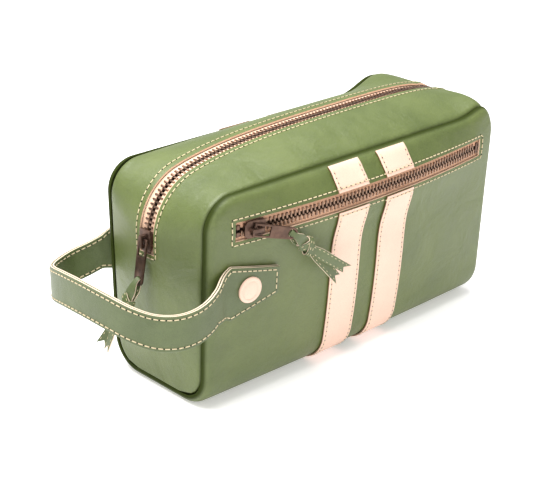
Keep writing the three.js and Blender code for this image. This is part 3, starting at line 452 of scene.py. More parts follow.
def simple(name, colour, dark, roughness, scale, metallic=0.0, bump_height=0.0001):
    material, nodes, links, shader = new_material(name)
    place = nodes.new("ShaderNodeTexCoord").outputs["Object"]
    noise = add_node(nodes, "ShaderNodeTexNoise", Scale=scale, Detail=4.0)
    links.new(place, noise.inputs["Vector"])
    spread = add_node(nodes, "ShaderNodeMapRange")
    spread.inputs["From Min"].default_value = 0.35
    spread.inputs["From Max"].default_value = 0.65
    links.new(noise.outputs["Fac"], spread.inputs["Value"])
    links.new(mix_colours(nodes, links, spread.outputs["Result"], dark, colour), shader.inputs["Base Color"])
    bump = add_node(nodes, "ShaderNodeBump", Strength=0.5, Distance=bump_height)
    links.new(noise.outputs["Fac"], bump.inputs["Height"])
    links.new(bump.outputs["Normal"], shader.inputs["Normal"])
    shader.inputs["Roughness"].default_value = roughness
    shader.inputs["Metallic"].default_value = metallic
    return material


def woven(name, colour, dark):
    material, nodes, links, shader = new_material(name)
    place = add_node(nodes, "ShaderNodeAttribute", attribute_name="strand").outputs["Vector"]
    waves = []
    for direction in ("X", "Y"):
        wave = add_node(nodes, "ShaderNodeTexWave", Scale=0.55, wave_type="BANDS", bands_direction=direction)
        links.new(place, wave.inputs["Vector"])
        waves.append(wave.outputs["Fac"])
    weave = add_node(nodes, "ShaderNodeMath", operation="MULTIPLY")
    links.new(waves[0], weave.inputs[0])
    links.new(waves[1], weave.inputs[1])
    links.new(mix_colours(nodes, links, weave.outputs[0], dark, colour), shader.inputs["Base Color"])
    bump = add_node(nodes, "ShaderNodeBump", Strength=0.6, Distance=0.00015)
    links.new(weave.outputs[0], bump.inputs["Height"])
    links.new(bump.outputs["Normal"], shader.inputs["Normal"])
    shader.inputs["Roughness"].default_value = 0.85
    return material


TAN = (0.90, 0.64, 0.46, 1)
BROWN = (0.30, 0.17, 0.10, 1)
PALE_EDGE = (0.92, 0.72, 0.55, 1)
GREEN = leather("Green leather", (0.118, 0.150, 0.038, 1), (0.076, 0.104, 0.022, 1), TAN, 0.44, coat=0.06)
CREAM = leather("Stripe leather", (0.84, 0.59, 0.46, 1), (0.77, 0.52, 0.40, 1), BROWN, 0.5,
                grain=0.15, grain_scale=1400.0, coat=0.05)
STRAP_GREEN = leather("Strap leather", (0.100, 0.130, 0.045, 1), (0.064, 0.088, 0.026, 1), PALE_EDGE, 0.48,
                      coat=0.05)
TAPE = woven("Zip tape", (0.78, 0.48, 0.31, 1), (0.52, 0.30, 0.19, 1))
TOP_TAPE = woven("Top zip tape", (0.93, 0.68, 0.50, 1), (0.70, 0.46, 0.32, 1))
BRASS = simple("Antique brass", (0.135, 0.078, 0.055, 1), (0.075, 0.044, 0.032, 1), 0.36, 260.0,
               metallic=0.8, bump_height=0.00004)
TEETH = simple("Zip teeth", (0.30, 0.19, 0.13, 1), (0.14, 0.085, 0.06, 1), 0.33, 500.0,
               metallic=0.85, bump_height=0.00004)
THREAD = simple("Thread", (0.74, 0.62, 0.40, 1), (0.52, 0.42, 0.25, 1), 0.8, 2500.0)
# Painted shade: near-black colour for the small blocks that stand in for the shade inside needle holes.
NEEDLE_HOLE_SHADE = simple("Needle hole shade", (0.020, 0.022, 0.010, 1), (0.010, 0.010, 0.005, 1), 0.95, 900.0)
LINING = simple("Lining cotton", (0.30, 0.24, 0.17, 1), (0.22, 0.17, 0.12, 1), 0.95, 900.0)
print("materials:", len(bpy.data.materials))

# %% [markdown]
# ## The leather shell
# The wrap is one piece from the front top seam round the base to the back top seam. Its grid keeps a line on
# each edge of the pocket's window, so the window is simply left out.

# %% Wrap
rim_steps = [0, 0.2, 0.5, 0.95, 1.6, 2.4, 3.4, 4.4, RIM, 7.5, 10, 13.5]
window_low, window_high = POCKET_ZIP_HEIGHT - POCKET_SLOT / 2, POCKET_ZIP_HEIGHT + POCKET_SLOT / 2
base_x = np.concatenate([
    -HALF + np.array(rim_steps), spaced(-POCKET_HALF, POCKET_HALF, 1.9), HALF - np.array(rim_steps[::-1])])
side_v = np.concatenate([
    wall_arc(SEAM_HEIGHT - np.array(rim_steps[:9])),
    wall_arc(spaced(29, 128.8, 1.9, (window_low, window_high)))[::-1],
    spaced(FLAT, FLAT + FOOT_ARC, 1.6)[::-1], spaced(1.5, FLAT - 1.5, 2.5)[::-1]])
wrap_v = np.concatenate([-side_v, [0.0], side_v[::-1]])


def wrap_grid(xs, vs):
    x, v = np.meshgrid(xs, vs)
    z = section(v)[1]
    shift_left, shift_right = seam_x(z, -1) + HALF, seam_x(z, 1) - HALF
    return x + shift_left * smooth(-x, 60, HALF) + shift_right * smooth(x, 60, HALF), v


x_grid, v_grid = wrap_grid(base_x, wrap_v)
middle_x = (base_x[:-1] + base_x[1:]) / 2
middle_v = (wrap_v[:-1] + wrap_v[1:]) / 2
in_window = (np.abs(middle_x)[None, :] < POCKET_HALF) & (middle_v[:, None] < -wall_arc(window_low)) \
    & (middle_v[:, None] > -wall_arc(window_high))
# Painted shade by the wrap's seams: full within 0.2 mm of the seam, fading out by 1.5 mm.
seam_shade_mask = 1 - smooth(edge_distance(x_grid, section(v_grid)[1]), 0.2, 1.5)
wrap = shell("wrap_leather", wrap_skin, x_grid, v_grid, -LEATHER, 0.0, in_window, 0.35, seam_shade_mask)
finish_piece(wrap, GREEN, "bag", "green_leather", "wrap_panel")
print("wrap faces", len(wrap.data.polygons))

# %% [markdown]
# The gusset is made the same way. Its rows lie closer together at the rolled edges, and the quads between the
# zip's two rows are left out.

# %% Gusset
stations = np.concatenate([
    spaced(0, SLOT_START, 0.022), spaced(SLOT_START, 2, 0.035)[1:], spaced(2, 3, 0.0095)[1:],
    spaced(3, 4, 0.07)[1:], spaced(4, 5, 0.02, (SLOT_END,))[1:]])
across = np.concatenate([
    1 - np.array([0, 0.006, 0.016, 0.032, 0.055, 0.085, 0.12, 0.17, 0.21]), np.linspace(0.75, 0.25, 13)])
across = np.concatenate([-across, [0.0], across[::-1]])
p_grid, q_grid = np.meshgrid(stations, across)
middle_p = (stations[:-1] + stations[1:]) / 2
middle_q = (across[:-1] + across[1:]) / 2
slot_stations = (middle_p > SLOT_START) & (middle_p < SLOT_END)
in_slot = (np.abs(middle_q)[:, None] < 0.25) & slot_stations[None, :]
# Painted shade by the gusset's edge seams, fading out between 0.2 and 1.4 mm from the edge.
seam_shade_mask = 1 - smooth((1 - np.abs(q_grid)) * EDGE_ZONE * 4, 0.2, 1.4)
gusset = shell("gusset_leather", gusset_skin, p_grid, q_grid, -LEATHER, 0.0, in_slot, 0.35, seam_shade_mask)
finish_piece(gusset, GREEN, "bag", "green_leather", "zip_gusset")
print("gusset faces", len(gusset.data.polygons))

# %% [markdown]
# ## Stripes
# Two pale stripes are sewn over the wrap, from the front top seam round the base to the back. The pocket's
# window cuts each into an upper and a lower piece.

# %% Stripes
stripe_v = side_v[side_v < wall_arc(SEAM_HEIGHT - 1) + 0.01]
lower_v = np.concatenate([-side_v[side_v <= wall_arc(window_low) + 0.01], [0.0], stripe_v[::-1]])
upper_v = -stripe_v[stripe_v >= wall_arc(window_high) - 0.01]
for k, side_name in enumerate(("left", "right")):
    stripe_x = spaced(stripe_start(k), stripe_start(k) + STRIPE_WIDTH, 1.7)
    stripe_x = np.sort(np.append(stripe_x, [stripe_x[0] + 0.35, stripe_x[-1] - 0.35]))
    for part, rows in (("upper", upper_v), ("lower", lower_v)):
        x, v = np.meshgrid(stripe_x, rows)
        name = f"stripe_{side_name}_{part}"
        stripe = shell(f"{name}_leather", wrap_skin, x, v, SEAM_GAP, STRIPE_LIFT, bevel=0.25)
        finish_piece(stripe, CREAM, "bag", "stripe_leather", name)
print("stripe pieces:", 4)

# %% [markdown]
# ## Zip tapes
# A tape runs along each side of both zips, under the leather. Its inner edge carries the teeth.

# %% Tapes
TOOTH_START = ZIP_GAP / 2
TAPE_INNER = TOOTH_START + 0.9
TAPE_END = TOOTH_START + TOOTH_WIDTH + SEAM_GAP + TAPE_WIDTH
CHAIN_HALF = POCKET_HALF - 4.0


def pocket_v(up):
    return -wall_arc(POCKET_ZIP_HEIGHT + up)


tape_x = spaced(-POCKET_HALF - 5, POCKET_HALF + 5, 2.0)
for name, low, high in (("upper", TAPE_INNER, TAPE_END), ("lower", -TAPE_END, -TAPE_INNER)):
    x, v = np.meshgrid(tape_x, pocket_v(np.linspace(high, low, 9)))
    tape = shell(f"pocket_tape_{name}", wrap_skin, x, v, -TAPE_DEPTH - TAPE_THICKNESS, -TAPE_DEPTH)
    finish_piece(tape, TAPE, "bag", "zip_tape", f"pocket_zip_tape_{name}")
tape_p = stations[(stations > SLOT_START - 0.06) & (stations < SLOT_END + 0.05)]
for name, sign in (("front", 1), ("back", -1)):
    w = np.sort(sign * np.linspace(TAPE_INNER, TAPE_END, 9))
    p, w = np.meshgrid(tape_p, w)
    tape = shell(f"top_tape_{name}", gusset_band, p, w, -TAPE_DEPTH - TAPE_THICKNESS, -TAPE_DEPTH)
    finish_piece(tape, TOP_TAPE, "bag", "zip_tape", f"top_zip_tape_{name}")
print("tapes:", 4)

# %% [markdown]
# ## Things in a row
# Teeth and stitches repeat along a line. A Geometry Nodes tree puts one small piece on every point of a row
# and turns it by two direction attributes. The result is then kept as a plain mesh.


# %% The row tree
def row_tree():
    tree = bpy.data.node_groups.new("Pieces in a row", "GeometryNodeTree")
    face = tree.interface
    face.new_socket("Points", in_out="INPUT", socket_type="NodeSocketGeometry")
    face.new_socket("Piece", in_out="INPUT", socket_type="NodeSocketObject")
    face.new_socket("Size", in_out="INPUT", socket_type="NodeSocketVector")
    face.new_socket("Material", in_out="INPUT", socket_type="NodeSocketMaterial")
    face.new_socket("Pieces", in_out="OUTPUT", socket_type="NodeSocketGeometry")
    nodes, links = tree.nodes, tree.links
    source, target = nodes.new("NodeGroupInput"), nodes.new("NodeGroupOutput")
    turn = nodes.new("FunctionNodeAxesToRotation")
    turn.primary_axis, turn.secondary_axis = "Z", "X"
    for name, socket in (("out", "Primary Axis"), ("along", "Secondary Axis")):
        read = nodes.new("GeometryNodeInputNamedAttribute")
        read.data_type = "FLOAT_VECTOR"
        read.inputs["Name"].default_value = name
        links.new(read.outputs["Attribute"], turn.inputs[socket])
    info = nodes.new("GeometryNodeObjectInfo")
    scatter = nodes.new("GeometryNodeInstanceOnPoints")
    realize = nodes.new("GeometryNodeRealizeInstances")
    paint = nodes.new("GeometryNodeSetMaterial")
    links.new(source.outputs["Piece"], info.inputs["Object"])
    links.new(source.outputs["Points"], scatter.inputs["Points"])
    links.new(info.outputs["Geometry"], scatter.inputs["Instance"])
    links.new(turn.outputs["Rotation"], scatter.inputs["Rotation"])
    links.new(source.outputs["Size"], scatter.inputs["Scale"])
    links.new(scatter.outputs["Instances"], realize.inputs["Geometry"])
    links.new(realize.outputs["Geometry"], paint.inputs["Geometry"])
    links.new(source.outputs["Material"], paint.inputs["Material"])
    links.new(paint.outputs["Geometry"], target.inputs["Pieces"])
    return tree


ROW_TREE = row_tree()


def row_of(name, points, along, out, piece, material, size=(1, 1, 1)):
    mesh = bpy.data.meshes.new(name)
    mesh.from_pydata((points * MM).tolist(), [], [])
    for label, vectors in (("along", along), ("out", out)):
        attribute = mesh.attributes.new(label, "FLOAT_VECTOR", "POINT")
        attribute.data.foreach_set("vector", np.asarray(vectors, np.float32).ravel())
    obj = bpy.data.objects.new(name, mesh)
    bpy.context.scene.collection.objects.link(obj)
    modifier = obj.modifiers.new("row", "NODES")
    modifier.node_group = ROW_TREE
    values = {"Piece": piece, "Size": size, "Material": material}
    for item in ROW_TREE.interface.items_tree:
        if item.name in values:
            modifier[item.identifier] = values[item.name]
    bpy.context.view_layer.update()
    solid = bpy.data.meshes.new_from_object(obj.evaluated_get(bpy.context.evaluated_depsgraph_get()))
    obj.modifiers.clear()
    obj.data = solid
    solid.name = name
    solid.shade_smooth()
    solid.set_sharp_from_angle(angle=math.radians(40))
    return obj


def small_block(name, x, y, z, bevel, taper=1.0):
    mesh = bpy.data.meshes.new(name)
    shape = bmesh.new()
    bmesh.ops.create_cube(shape, size=1)
    for vert in shape.verts:
        narrow = taper if vert.co.y > 0 else 1
        vert.co = Vector((vert.co.x * x * narrow, vert.co.y * y, vert.co.z * z)) * MM
    bmesh.ops.bevel(shape, geom=shape.edges[:], offset=bevel * MM, segments=2, profile=0.6, affect="EDGES")
    shape.to_mesh(mesh)
    shape.free()
    obj = bpy.data.objects.new(name, mesh)
    bpy.context.scene.collection.objects.link(obj)
    return obj


def resampled(points, normals, pitch):
    length = np.concatenate([[0], np.cumsum(np.linalg.norm(np.diff(points, axis=0), axis=1))])
    count = max(1, int(round(length[-1] / pitch)))
    at = (np.arange(count) + 0.5) * length[-1] / count
    place = lambda t, values: np.stack([np.interp(t, length, values[:, k]) for k in range(3)], 1)
    along = place(at + 0.3, points) - place(at - 0.3, points)
    along /= np.linalg.norm(along, axis=1, keepdims=True)
    out = place(at, normals)
    out /= np.linalg.norm(out, axis=1, keepdims=True)
    return place(at, points), along, out


def on_skin(surface, a, b, height=0.0):
    normals = normal_of(surface, a, b)
    return surface(a, b) + normals * np.asarray(height)[..., None], normals


print("row tree ready")

# %% [markdown]
# ## Zip teeth
# Both rows of a chain use the same tooth, turned to face the other row and shifted by half a pitch.

# %% Teeth
PITCH = 3.0
TOOTH_REACH = 0.15
tooth = small_block("tooth", 1.5, TOOTH_START + TOOTH_WIDTH - TOOTH_REACH, TOOTH_HEIGHT, 0.35, 0.8)
tooth_middle = (TOOTH_START + TOOTH_WIDTH + TOOTH_REACH) / 2
tooth_depth = -TAPE_DEPTH - TAPE_THICKNESS / 2
for name, sign in (("upper", 1), ("lower", -1)):
    x = np.arange(-CHAIN_HALF + 1, CHAIN_HALF - 1, PITCH) + (0.5 * PITCH if sign > 0 else 0)
    x = x[x < CHAIN_HALF - 0.8]
    points, out = on_skin(wrap_skin, x, pocket_v(sign * tooth_middle) + 0 * x, tooth_depth + 0 * x)
    along = np.tile([-sign * 1.0, 0, 0], (len(x), 1))
    teeth = row_of(f"pocket_teeth_{name}", points, along, out, tooth, TEETH)
    finish_piece(teeth, TEETH, "bag", "antique_brass", f"pocket_zip_teeth_{name}")
dense_p = np.linspace(SLOT_START + 0.01, SLOT_END - 0.06, 900)
for name, sign in (("front", 1), ("back", -1)):
    flat = np.ones_like(dense_p)
    line, normals = on_skin(gusset_band, dense_p, sign * tooth_middle * flat, tooth_depth * flat)
    start = 6 if sign > 0 else 0
    points, along, out = resampled(line[start:], normals[start:], PITCH)
    teeth = row_of(f"top_teeth_{name}", points, along * -sign, out, tooth, TEETH)
    finish_piece(teeth, TEETH, "bag", "antique_brass", f"top_zip_teeth_{name}")
bpy.data.objects.remove(tooth)
print("teeth rows:", 4)

# %% [markdown]
# ## Metal parts
# The sliders, pullers, stops and rivets keep the solids' shapes. A copy of each slider, puller and stop gets
# its edges rounded; the rivet posts keep their own solids and only take the brass.


# %% Metal
def rounded_copy(node, width, material, body, slot, segments=2):
    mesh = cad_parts[node].data.copy()
    shape = bmesh.new()
    shape.from_mesh(mesh)
    bmesh.ops.remove_doubles(shape, verts=shape.verts[:], dist=1e-6)
    bmesh.ops.dissolve_limit(shape, angle_limit=math.radians(2), verts=shape.verts[:], edges=shape.edges[:])
    sharp = [e for e in shape.edges if len(e.link_faces) == 2 and e.calc_face_angle(0) > math.radians(40)]
    bmesh.ops.bevel(shape, geom=sharp, offset=width * MM, segments=segments, profile=0.6, affect="EDGES",
                    clamp_overlap=True)
    bmesh.ops.triangulate(shape, faces=[f for f in shape.faces if len(f.verts) > 4])
    shape.to_mesh(mesh)
    shape.free()
    mesh.shade_smooth()
    mesh.set_sharp_from_angle(angle=math.radians(35))
    obj = bpy.data.objects.new(node + "_finished", mesh)
    bpy.context.scene.collection.objects.link(obj)
    return finish_piece(obj, material, body, slot, node)


METAL_BODIES = {
    "pocket_zip_slider": ("pocket_slider", 0.35), "pocket_zip_puller": ("pocket_puller", 0.3),
    "top_zip_slider": ("top_slider", 0.35), "top_zip_puller": ("top_puller", 0.3),
    "pocket_zip_stop_upper": ("bag", 0.3), "pocket_zip_stop_lower": ("bag", 0.3),
    "pocket_zip_end_stop": ("bag", 0.3), "top_zip_stop_front": ("bag", 0.3),
    "top_zip_stop_back": ("bag", 0.3), "top_zip_end_stop": ("bag", 0.3),
}
for node, (body, width) in METAL_BODIES.items():
    rounded_copy(node, width, BRASS, body, "antique_brass")
for node, material in (("rivet_post_front", BRASS), ("rivet_post_back", BRASS), ("lining_wrap", LINING),
                       ("lining_gusset", LINING), ("pocket_pouch", LINING)):
    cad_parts[node].data.materials.clear()
    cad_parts[node].data.materials.append(material)
print("metal pieces:", len(METAL_BODIES))

# %% [markdown]
# ## Carrying strap
# The strap is two plies, green outside, with their pale cut edges showing. It runs from one sewn tab round
# the loop to the other. We describe it once by the length u along it and the share w across it.

# %% Strap
TAB_X = -HALF + 13.5
TAB_BASE = SEAM_GAP
TAB_MIDDLE = TAB_BASE + STRAP_PLY + SEAM_GAP / 2
LOOP_HALF = [
    (0.01, 1, 0.01), (0.16, 1.06, 0.035), (0.32, 1.12, 0.09), (0.49, 1.14, 0.12), (0.66, 1.08, 0.13),
    (0.81, 0.94, 0.11), (0.92, 0.72, 0.06), (0.98, 0.4, 0.01), (1, 0, -0.01),
]
front_out = float(wrap_skin(np.array(TAB_X), np.array(-wall_arc(TAB_HEIGHT)))[1]) - TAB_MIDDLE
back_out = float(wrap_skin(np.array(TAB_X), np.array(wall_arc(TAB_HEIGHT)))[1]) + TAB_MIDDLE


def loop_point(reach, depth, drop, out):
    return TAB_X - reach * STRAP_REACH, out * depth, TAB_HEIGHT - drop * STRAP_REACH


knots = np.array([loop_point(*k, front_out) for k in LOOP_HALF]
                 + [loop_point(*k, back_out) for k in LOOP_HALF[-2::-1]])


def catmull(points, steps=24):
    ends = np.vstack([2 * points[0] - points[1], points, 2 * points[-1] - points[-2]])
    t = np.linspace(0, 1, steps, endpoint=False)[:, None]
    pieces = []
    for a, b, c, d in zip(ends[:-3], ends[1:-2], ends[2:-1], ends[3:]):
        pieces.append(0.5 * (2 * b + (c - a) * t + (2 * a - 5 * b + 4 * c - d) * t ** 2
                             + (3 * b - a - 3 * c + d) * t ** 3))
    return np.vstack(pieces + [points[-1:]])


loop_line = catmull(knots)
loop_arc = np.concatenate([[0], np.cumsum(np.linalg.norm(np.diff(loop_line, axis=0), axis=1))])
LOOP_LENGTH = loop_arc[-1]
FLARE = 13.0


def strap_half(u):
    on_tab = lerp(TAB_WIDE, TAB_NARROW, np.clip(np.maximum(-u, u - LOOP_LENGTH) / TAB_LENGTH, 0, 1)) / 2
    away = np.minimum(u, LOOP_LENGTH - u)
    flare = lerp(TAB_WIDE / 2, STRAP_WIDTH / 2, np.clip(away / FLARE, 0, 1) ** 0.75)
    return np.where(away > 0, flare, on_tab)


def strap_middle(u, w):
    half = strap_half(u)
    front = u < LOOP_LENGTH / 2
    away = np.where(front, u, LOOP_LENGTH - u)
    x = TAB_X - away
    side = np.where(front, -1.0, 1.0)
    v = side * wall_arc(TAB_HEIGHT - w * half)
    near = np.minimum(away, 12.9)
    lying = wrap_skin(np.maximum(x, TAB_X - near), v)
    lying = lying + normal_of(wrap_skin, np.maximum(x, TAB_X - near), v) * TAB_MIDDLE
    free = np.stack([np.interp(u, loop_arc, loop_line[:, k]) for k in range(3)], -1)
    free[..., 2] -= w * half
    share = smooth(away, -2.0, 11.0)[..., None]
    return lying * (1 - share) + free * share


strap_u = np.concatenate([
    [-TAB_LENGTH, -TAB_LENGTH + 0.3], np.arange(-TAB_LENGTH + 2, 14, 1.5),
    np.arange(14, LOOP_LENGTH - 14, 2.0),
    np.arange(LOOP_LENGTH - 14, LOOP_LENGTH + TAB_LENGTH - 1, 1.5),
    [LOOP_LENGTH + TAB_LENGTH - 0.3, LOOP_LENGTH + TAB_LENGTH]])
strap_w = np.concatenate([[-1, -0.97], np.linspace(-0.88, 0.88, 13), [0.97, 1]])
u_grid, w_grid = np.meshgrid(strap_u, strap_w)
PLY_GAP = 0.05
OUTSIDE_NODES = ("strap_outer_ply", "strap_tab_front", "strap_tab_back")
STRAP_PLIES = (
    ("strap_outside", -STRAP_PLY - PLY_GAP, -PLY_GAP, OUTSIDE_NODES),
    ("strap_inside", PLY_GAP, STRAP_PLY + PLY_GAP, ("strap_inner_ply",)),
)
for name, low, high, nodes in STRAP_PLIES:
    ply = shell(name, strap_middle, u_grid, w_grid, low, high, bevel=0.3)
    finish_piece(ply, STRAP_GREEN, None, "green_leather", *nodes)
    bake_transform(ply)
print("strap length", round(LOOP_LENGTH + 2 * TAB_LENGTH), "mm")

# %% [markdown]
# ## Leather discs
# A round leather disc covers the rivet on each tab. Its outline is turned round the rivet's axis.


# %% Discs
DISC_X = TAB_X + 13.5
DISC_PROFILE = [
    (0, 5.0), (2.2, 5.02), (4.6, 5.0), (5.3, 4.75), (5.7, 4.72), (6.1, 5.0), (7.3, 5.0), (7.95, 4.75),
    (8.2, 4.3), (8.2, 3.75), (7.9, 3.5), (0, 3.5),
]


def turned(name, profile, origin, out, segments=72):
    side = Vector((1, 0, 0)).cross(out).normalized()
    first = side.cross(out).normalized()
    verts, faces = [], []
    for radius, height in profile:
        for k in range(segments if radius else 1):
            angle = 2 * math.pi * k / segments
            spoke = first * math.cos(angle) + side * math.sin(angle)
            verts.append(tuple(origin + spoke * radius + out * height))
    rings, start = [], 0
    for radius, _ in profile:
        count = segments if radius else 1
        rings.append([start + k % count for k in range(segments + 1)])
        start += count
    for low, high in zip(rings[:-1], rings[1:]):
        for k in range(segments):
            corners = [low[k], high[k], high[k + 1], low[k + 1]]
            faces.append(tuple(dict.fromkeys(corners)))
    obj = make_object(name, verts, faces)
    shape = bmesh.new()
    shape.from_mesh(obj.data)
    bmesh.ops.recalc_face_normals(shape, faces=shape.faces[:])
    shape.to_mesh(obj.data)
    shape.free()
    return obj


for name, side in (("front", -1), ("back", 1)):
    at = np.array(DISC_X), np.array(side * wall_arc(TAB_HEIGHT))
    foot, out = Vector(wrap_skin(*at)), Vector(normal_of(wrap_skin, *at))
    disc = turned(f"leather_disc_{name}", DISC_PROFILE, foot, out)
    finish_piece(disc, CREAM, "bag", "stripe_leather", f"rivet_disc_{name}")
print("discs: 2")

# %% [markdown]
# ## Lace tassels
# Each zip puller carries a stitched leather lace: a loop through the puller's hole, a knot and two tails. A
# ribbon is a flat strip that follows a line, with a direction across it at each point.


# %% Ribbons
RIBBON_SHARES = (-1, -0.93, -0.6, -0.25, 0, 0.25, 0.6, 0.93, 1)


def ribbon_surface(line, across, half):
    arc = np.concatenate([[0], np.cumsum(np.linalg.norm(np.diff(line, axis=0), axis=1))])

    def surface(a, b):
        point = np.stack([np.interp(a, arc, line[:, k]) for k in range(3)], -1)
        side = np.stack([np.interp(a, arc, across[:, k]) for k in range(3)], -1)
        return point + side * (b * np.interp(a, arc, half))[..., None]

    return surface, arc[-1]


def ribbon(name, line, across, half, thickness=1.1, step=0.7, notch=0.0):
    plain, length = ribbon_surface(line, across, half)

    def surface(a, b):
        shorten = notch * (1 - np.abs(b)) * np.clip(a / length, 0, 1) ** 4
        return plain(a - shorten, b)

    stations_along = np.linspace(0, length, max(4, int(length / step)))
    a, b = np.meshgrid(stations_along, RIBBON_SHARES)
    return shell(name, surface, a, b, -thickness / 2, thickness / 2, bevel=0.25), surface, length


PULLER_REACH = PULLER_LENGTH - 0.45 * PULLER_WIDTH
PIVOT_HEIGHT = 1.85
PIVOT_SHIFT = 1.2
LOOP_REACH, KNOT_LENGTH, TAIL_LENGTH, TAIL_FAN, LACE_THICKNESS = 11.0, 9.0, 34.0, 0.1, 1.1


def unit(*vector):
    return np.array(vector, float) / np.linalg.norm(vector)


def frame_along(origin, along, out):
    out = out - along * np.dot(out, along)
    out = out / np.linalg.norm(out)
    axes = np.stack([along, np.cross(out, along), out])
    return lambda local: origin + local @ axes, lambda local: local @ axes


def tassel(label, body, hole, along, out, tail_length, bend):
    place, turn = frame_along(hole, along, out)
    pieces, seams = [], []

    def add_ribbon(name, line, across, half, **options):
        obj, surface, length = ribbon(name, place(line), turn(across), half, **options)
        pieces.append(obj)
        seams.append((surface, length, float(np.max(half))))

    leg = 0.6 + LACE_THICKNESS / 2 + 1.0
    legs = [(LOOP_REACH + 2, 0, 0.9), (LOOP_REACH * 0.62, 0.5, leg), (2.4, 0.2, leg), (-0.6, 0, 1.0)]
    line = catmull(np.array(legs + [(x, -y, -z) for x, y, z in legs[::-1]]), 10)
    width = lerp(1.6, LACE_WIDTH / 2, smooth(line[:, 0], 0.5, 8))
    add_ribbon(f"{label}_loop_lace", line, np.tile([0, 1.0, 0], (len(line), 1)), width)
    middle = LOOP_REACH + SEAM_GAP + KNOT_LENGTH / 2
    turn_angle = np.linspace(math.pi, math.pi * 2.985, 60)
    for k, (shift, tilt, grow) in enumerate(((0.0, -0.15, 0.0), (-1.6, 0.62, 0.85), (1.5, -0.55, 1.5))):
        y, z = (3.4 + grow) * np.cos(turn_angle), (1.5 + grow) * np.sin(turn_angle)
        line = np.stack([middle + shift + tilt * y, y, z], 1)
        across = np.tile(unit(1, -tilt * 0.4, 0), (len(line), 1))
        add_ribbon(f"{label}_knot_wrap_{k}", line, across, np.full(len(line), 2.5 - 0.2 * k))
    start = LOOP_REACH + KNOT_LENGTH - 1.5
    for k, sign in (("upper", 1), ("lower", -1)):
        t = np.linspace(0, 1, 40)
        x = start + t * (tail_length + 2.1)
        y = sign * (TAIL_FAN * (x - start) + bend * t ** 2)
        z = sign * (0.62 + 0.9 * np.sin(math.pi * t) * (1 if sign > 0 else 0.3)) + 0 * t
        line = np.stack([x, y, z], 1)
        twist = sign * (0.12 + 0.35 * t)
        across = np.stack([-np.gradient(y, x), np.cos(twist), np.sin(twist)], 1)
        across /= np.linalg.norm(across, axis=1, keepdims=True)
        half = lerp(2.3, LACE_WIDTH / 2, smooth(t, 0, 0.3))
        add_ribbon(f"{label}_tail_{k}_lace", line, across, half, notch=4.0)
    nodes = [[f"{label}_tassel_loop"], [f"{label}_tassel_knot"], [], [], [f"{label}_tassel_tail_upper"],
             [f"{label}_tassel_tail_lower"]]
    for obj, replaced in zip(pieces, nodes):
        finish_piece(obj, STRAP_GREEN, body, "green_leather", *replaced)
    return seams


slider_x = -POCKET_HALF + 12.5
slider_at = np.array(slider_x), np.array(pocket_v(0))
slider_out = normal_of(wrap_skin, *slider_at)
slider_along = unit(-slider_out[1], slider_out[0], 0)
pocket_pivot = wrap_skin(*slider_at) - slider_along * PIVOT_SHIFT + slider_out * PIVOT_HEIGHT
pocket_hole = pocket_pivot + unit(0.955, -0.235, -0.274) * PULLER_REACH
pocket_seams = tassel("pocket_zip", "pocket_tassel", pocket_hole, unit(0.73, -0.06, -0.68), slider_out,
                      TAIL_LENGTH, 0.6)
top_pivot = gusset_at(np.array(1.0), np.array(0.0)) + np.array([-PIVOT_HEIGHT, 0, PIVOT_SHIFT])
top_hole = top_pivot + unit(-0.16, 0.02, -0.98) * PULLER_REACH
top_seams = tassel("top_zip", "top_tassel", top_hole, unit(-0.44, 0.2, -0.87), unit(-1, 0, 0),
                   TAIL_LENGTH * 0.8, 0.4)
print("tassels: 2")

# %% [markdown]
# ## Stitches
# Every seam is a line on a skin. The stitches stand on it at an even pitch, with a near-black block of
# painted shade for the needle hole between two of them. We collect the rows first and make them at the end.

# %% Stitches
STITCH_PITCH = 3.9
stitch = small_block("stitch", 2.75, 0.62, 0.5, 0.22)
# A thin near-black block, painted shade for a needle hole between two stitches.
hole_shade_piece = small_block("hole", 0.85, 0.6, 0.2, 0.08)
stitch_objects = {}


def sew(group, line, normals, pitch=STITCH_PITCH, size=1.0):
    points, along, out = resampled(line, normals, pitch)
    rows = stitch_objects.setdefault(group, [])
    rows.append((points, along, out, (size * pitch / STITCH_PITCH, size, size)))
    if "tassel" not in group:
        # This row puts the painted needle-hole shade half a pitch along from each stitch.
        rows.append((points + along * pitch / 2, along, out, None))


def line_on(surface, a, b, height):
    a, b = np.broadcast_arrays(np.asarray(a, float), np.asarray(b, float))
    return on_skin(surface, a, b, height + 0 * a)


def on_stripes(x):
    level = 0
    for k in (0, 1):
        level = level + ((x > stripe_start(k)) & (x < stripe_start(k) + STRIPE_WIDTH)) * STRIPE_LIFT
    return level + 0.12


print("stitch helpers ready")

# %% [markdown]
# The first seam goes round the pocket's window. Its corners are rounded by a quarter circle each.

# %% Window seam
seam_half, seam_up, corner = POCKET_HALF + 2.5, POCKET_SLOT / 2 + 2, 2.0
t = np.linspace(0, math.pi / 2, 6)
outline = []
for cx, cz, turn_from in ((1, 1, 0), (-1, 1, 1), (-1, -1, 2), (1, -1, 3)):
    angle = t + turn_from * math.pi / 2
    outline.append(np.stack([cx * (seam_half - corner) + corner * np.cos(angle),
                             cz * (seam_up - corner) + corner * np.sin(angle)], 1))
outline = np.vstack(outline + [outline[0][:1]])
arc = np.concatenate([[0], np.cumsum(np.linalg.norm(np.diff(outline, axis=0), axis=1))])
dense = np.linspace(0, arc[-1], 1600)
window_x, window_up = np.interp(dense, arc, outline[:, 0]), np.interp(dense, arc, outline[:, 1])
sew("bag", *line_on(wrap_skin, window_x, pocket_v(window_up), on_stripes(window_x)))

print("window seam:", round(arc[-1]), "mm")

# %% [markdown]
# The next ones run along both sides of the top zip and across its ends, and down the long edges of the
# stripes.

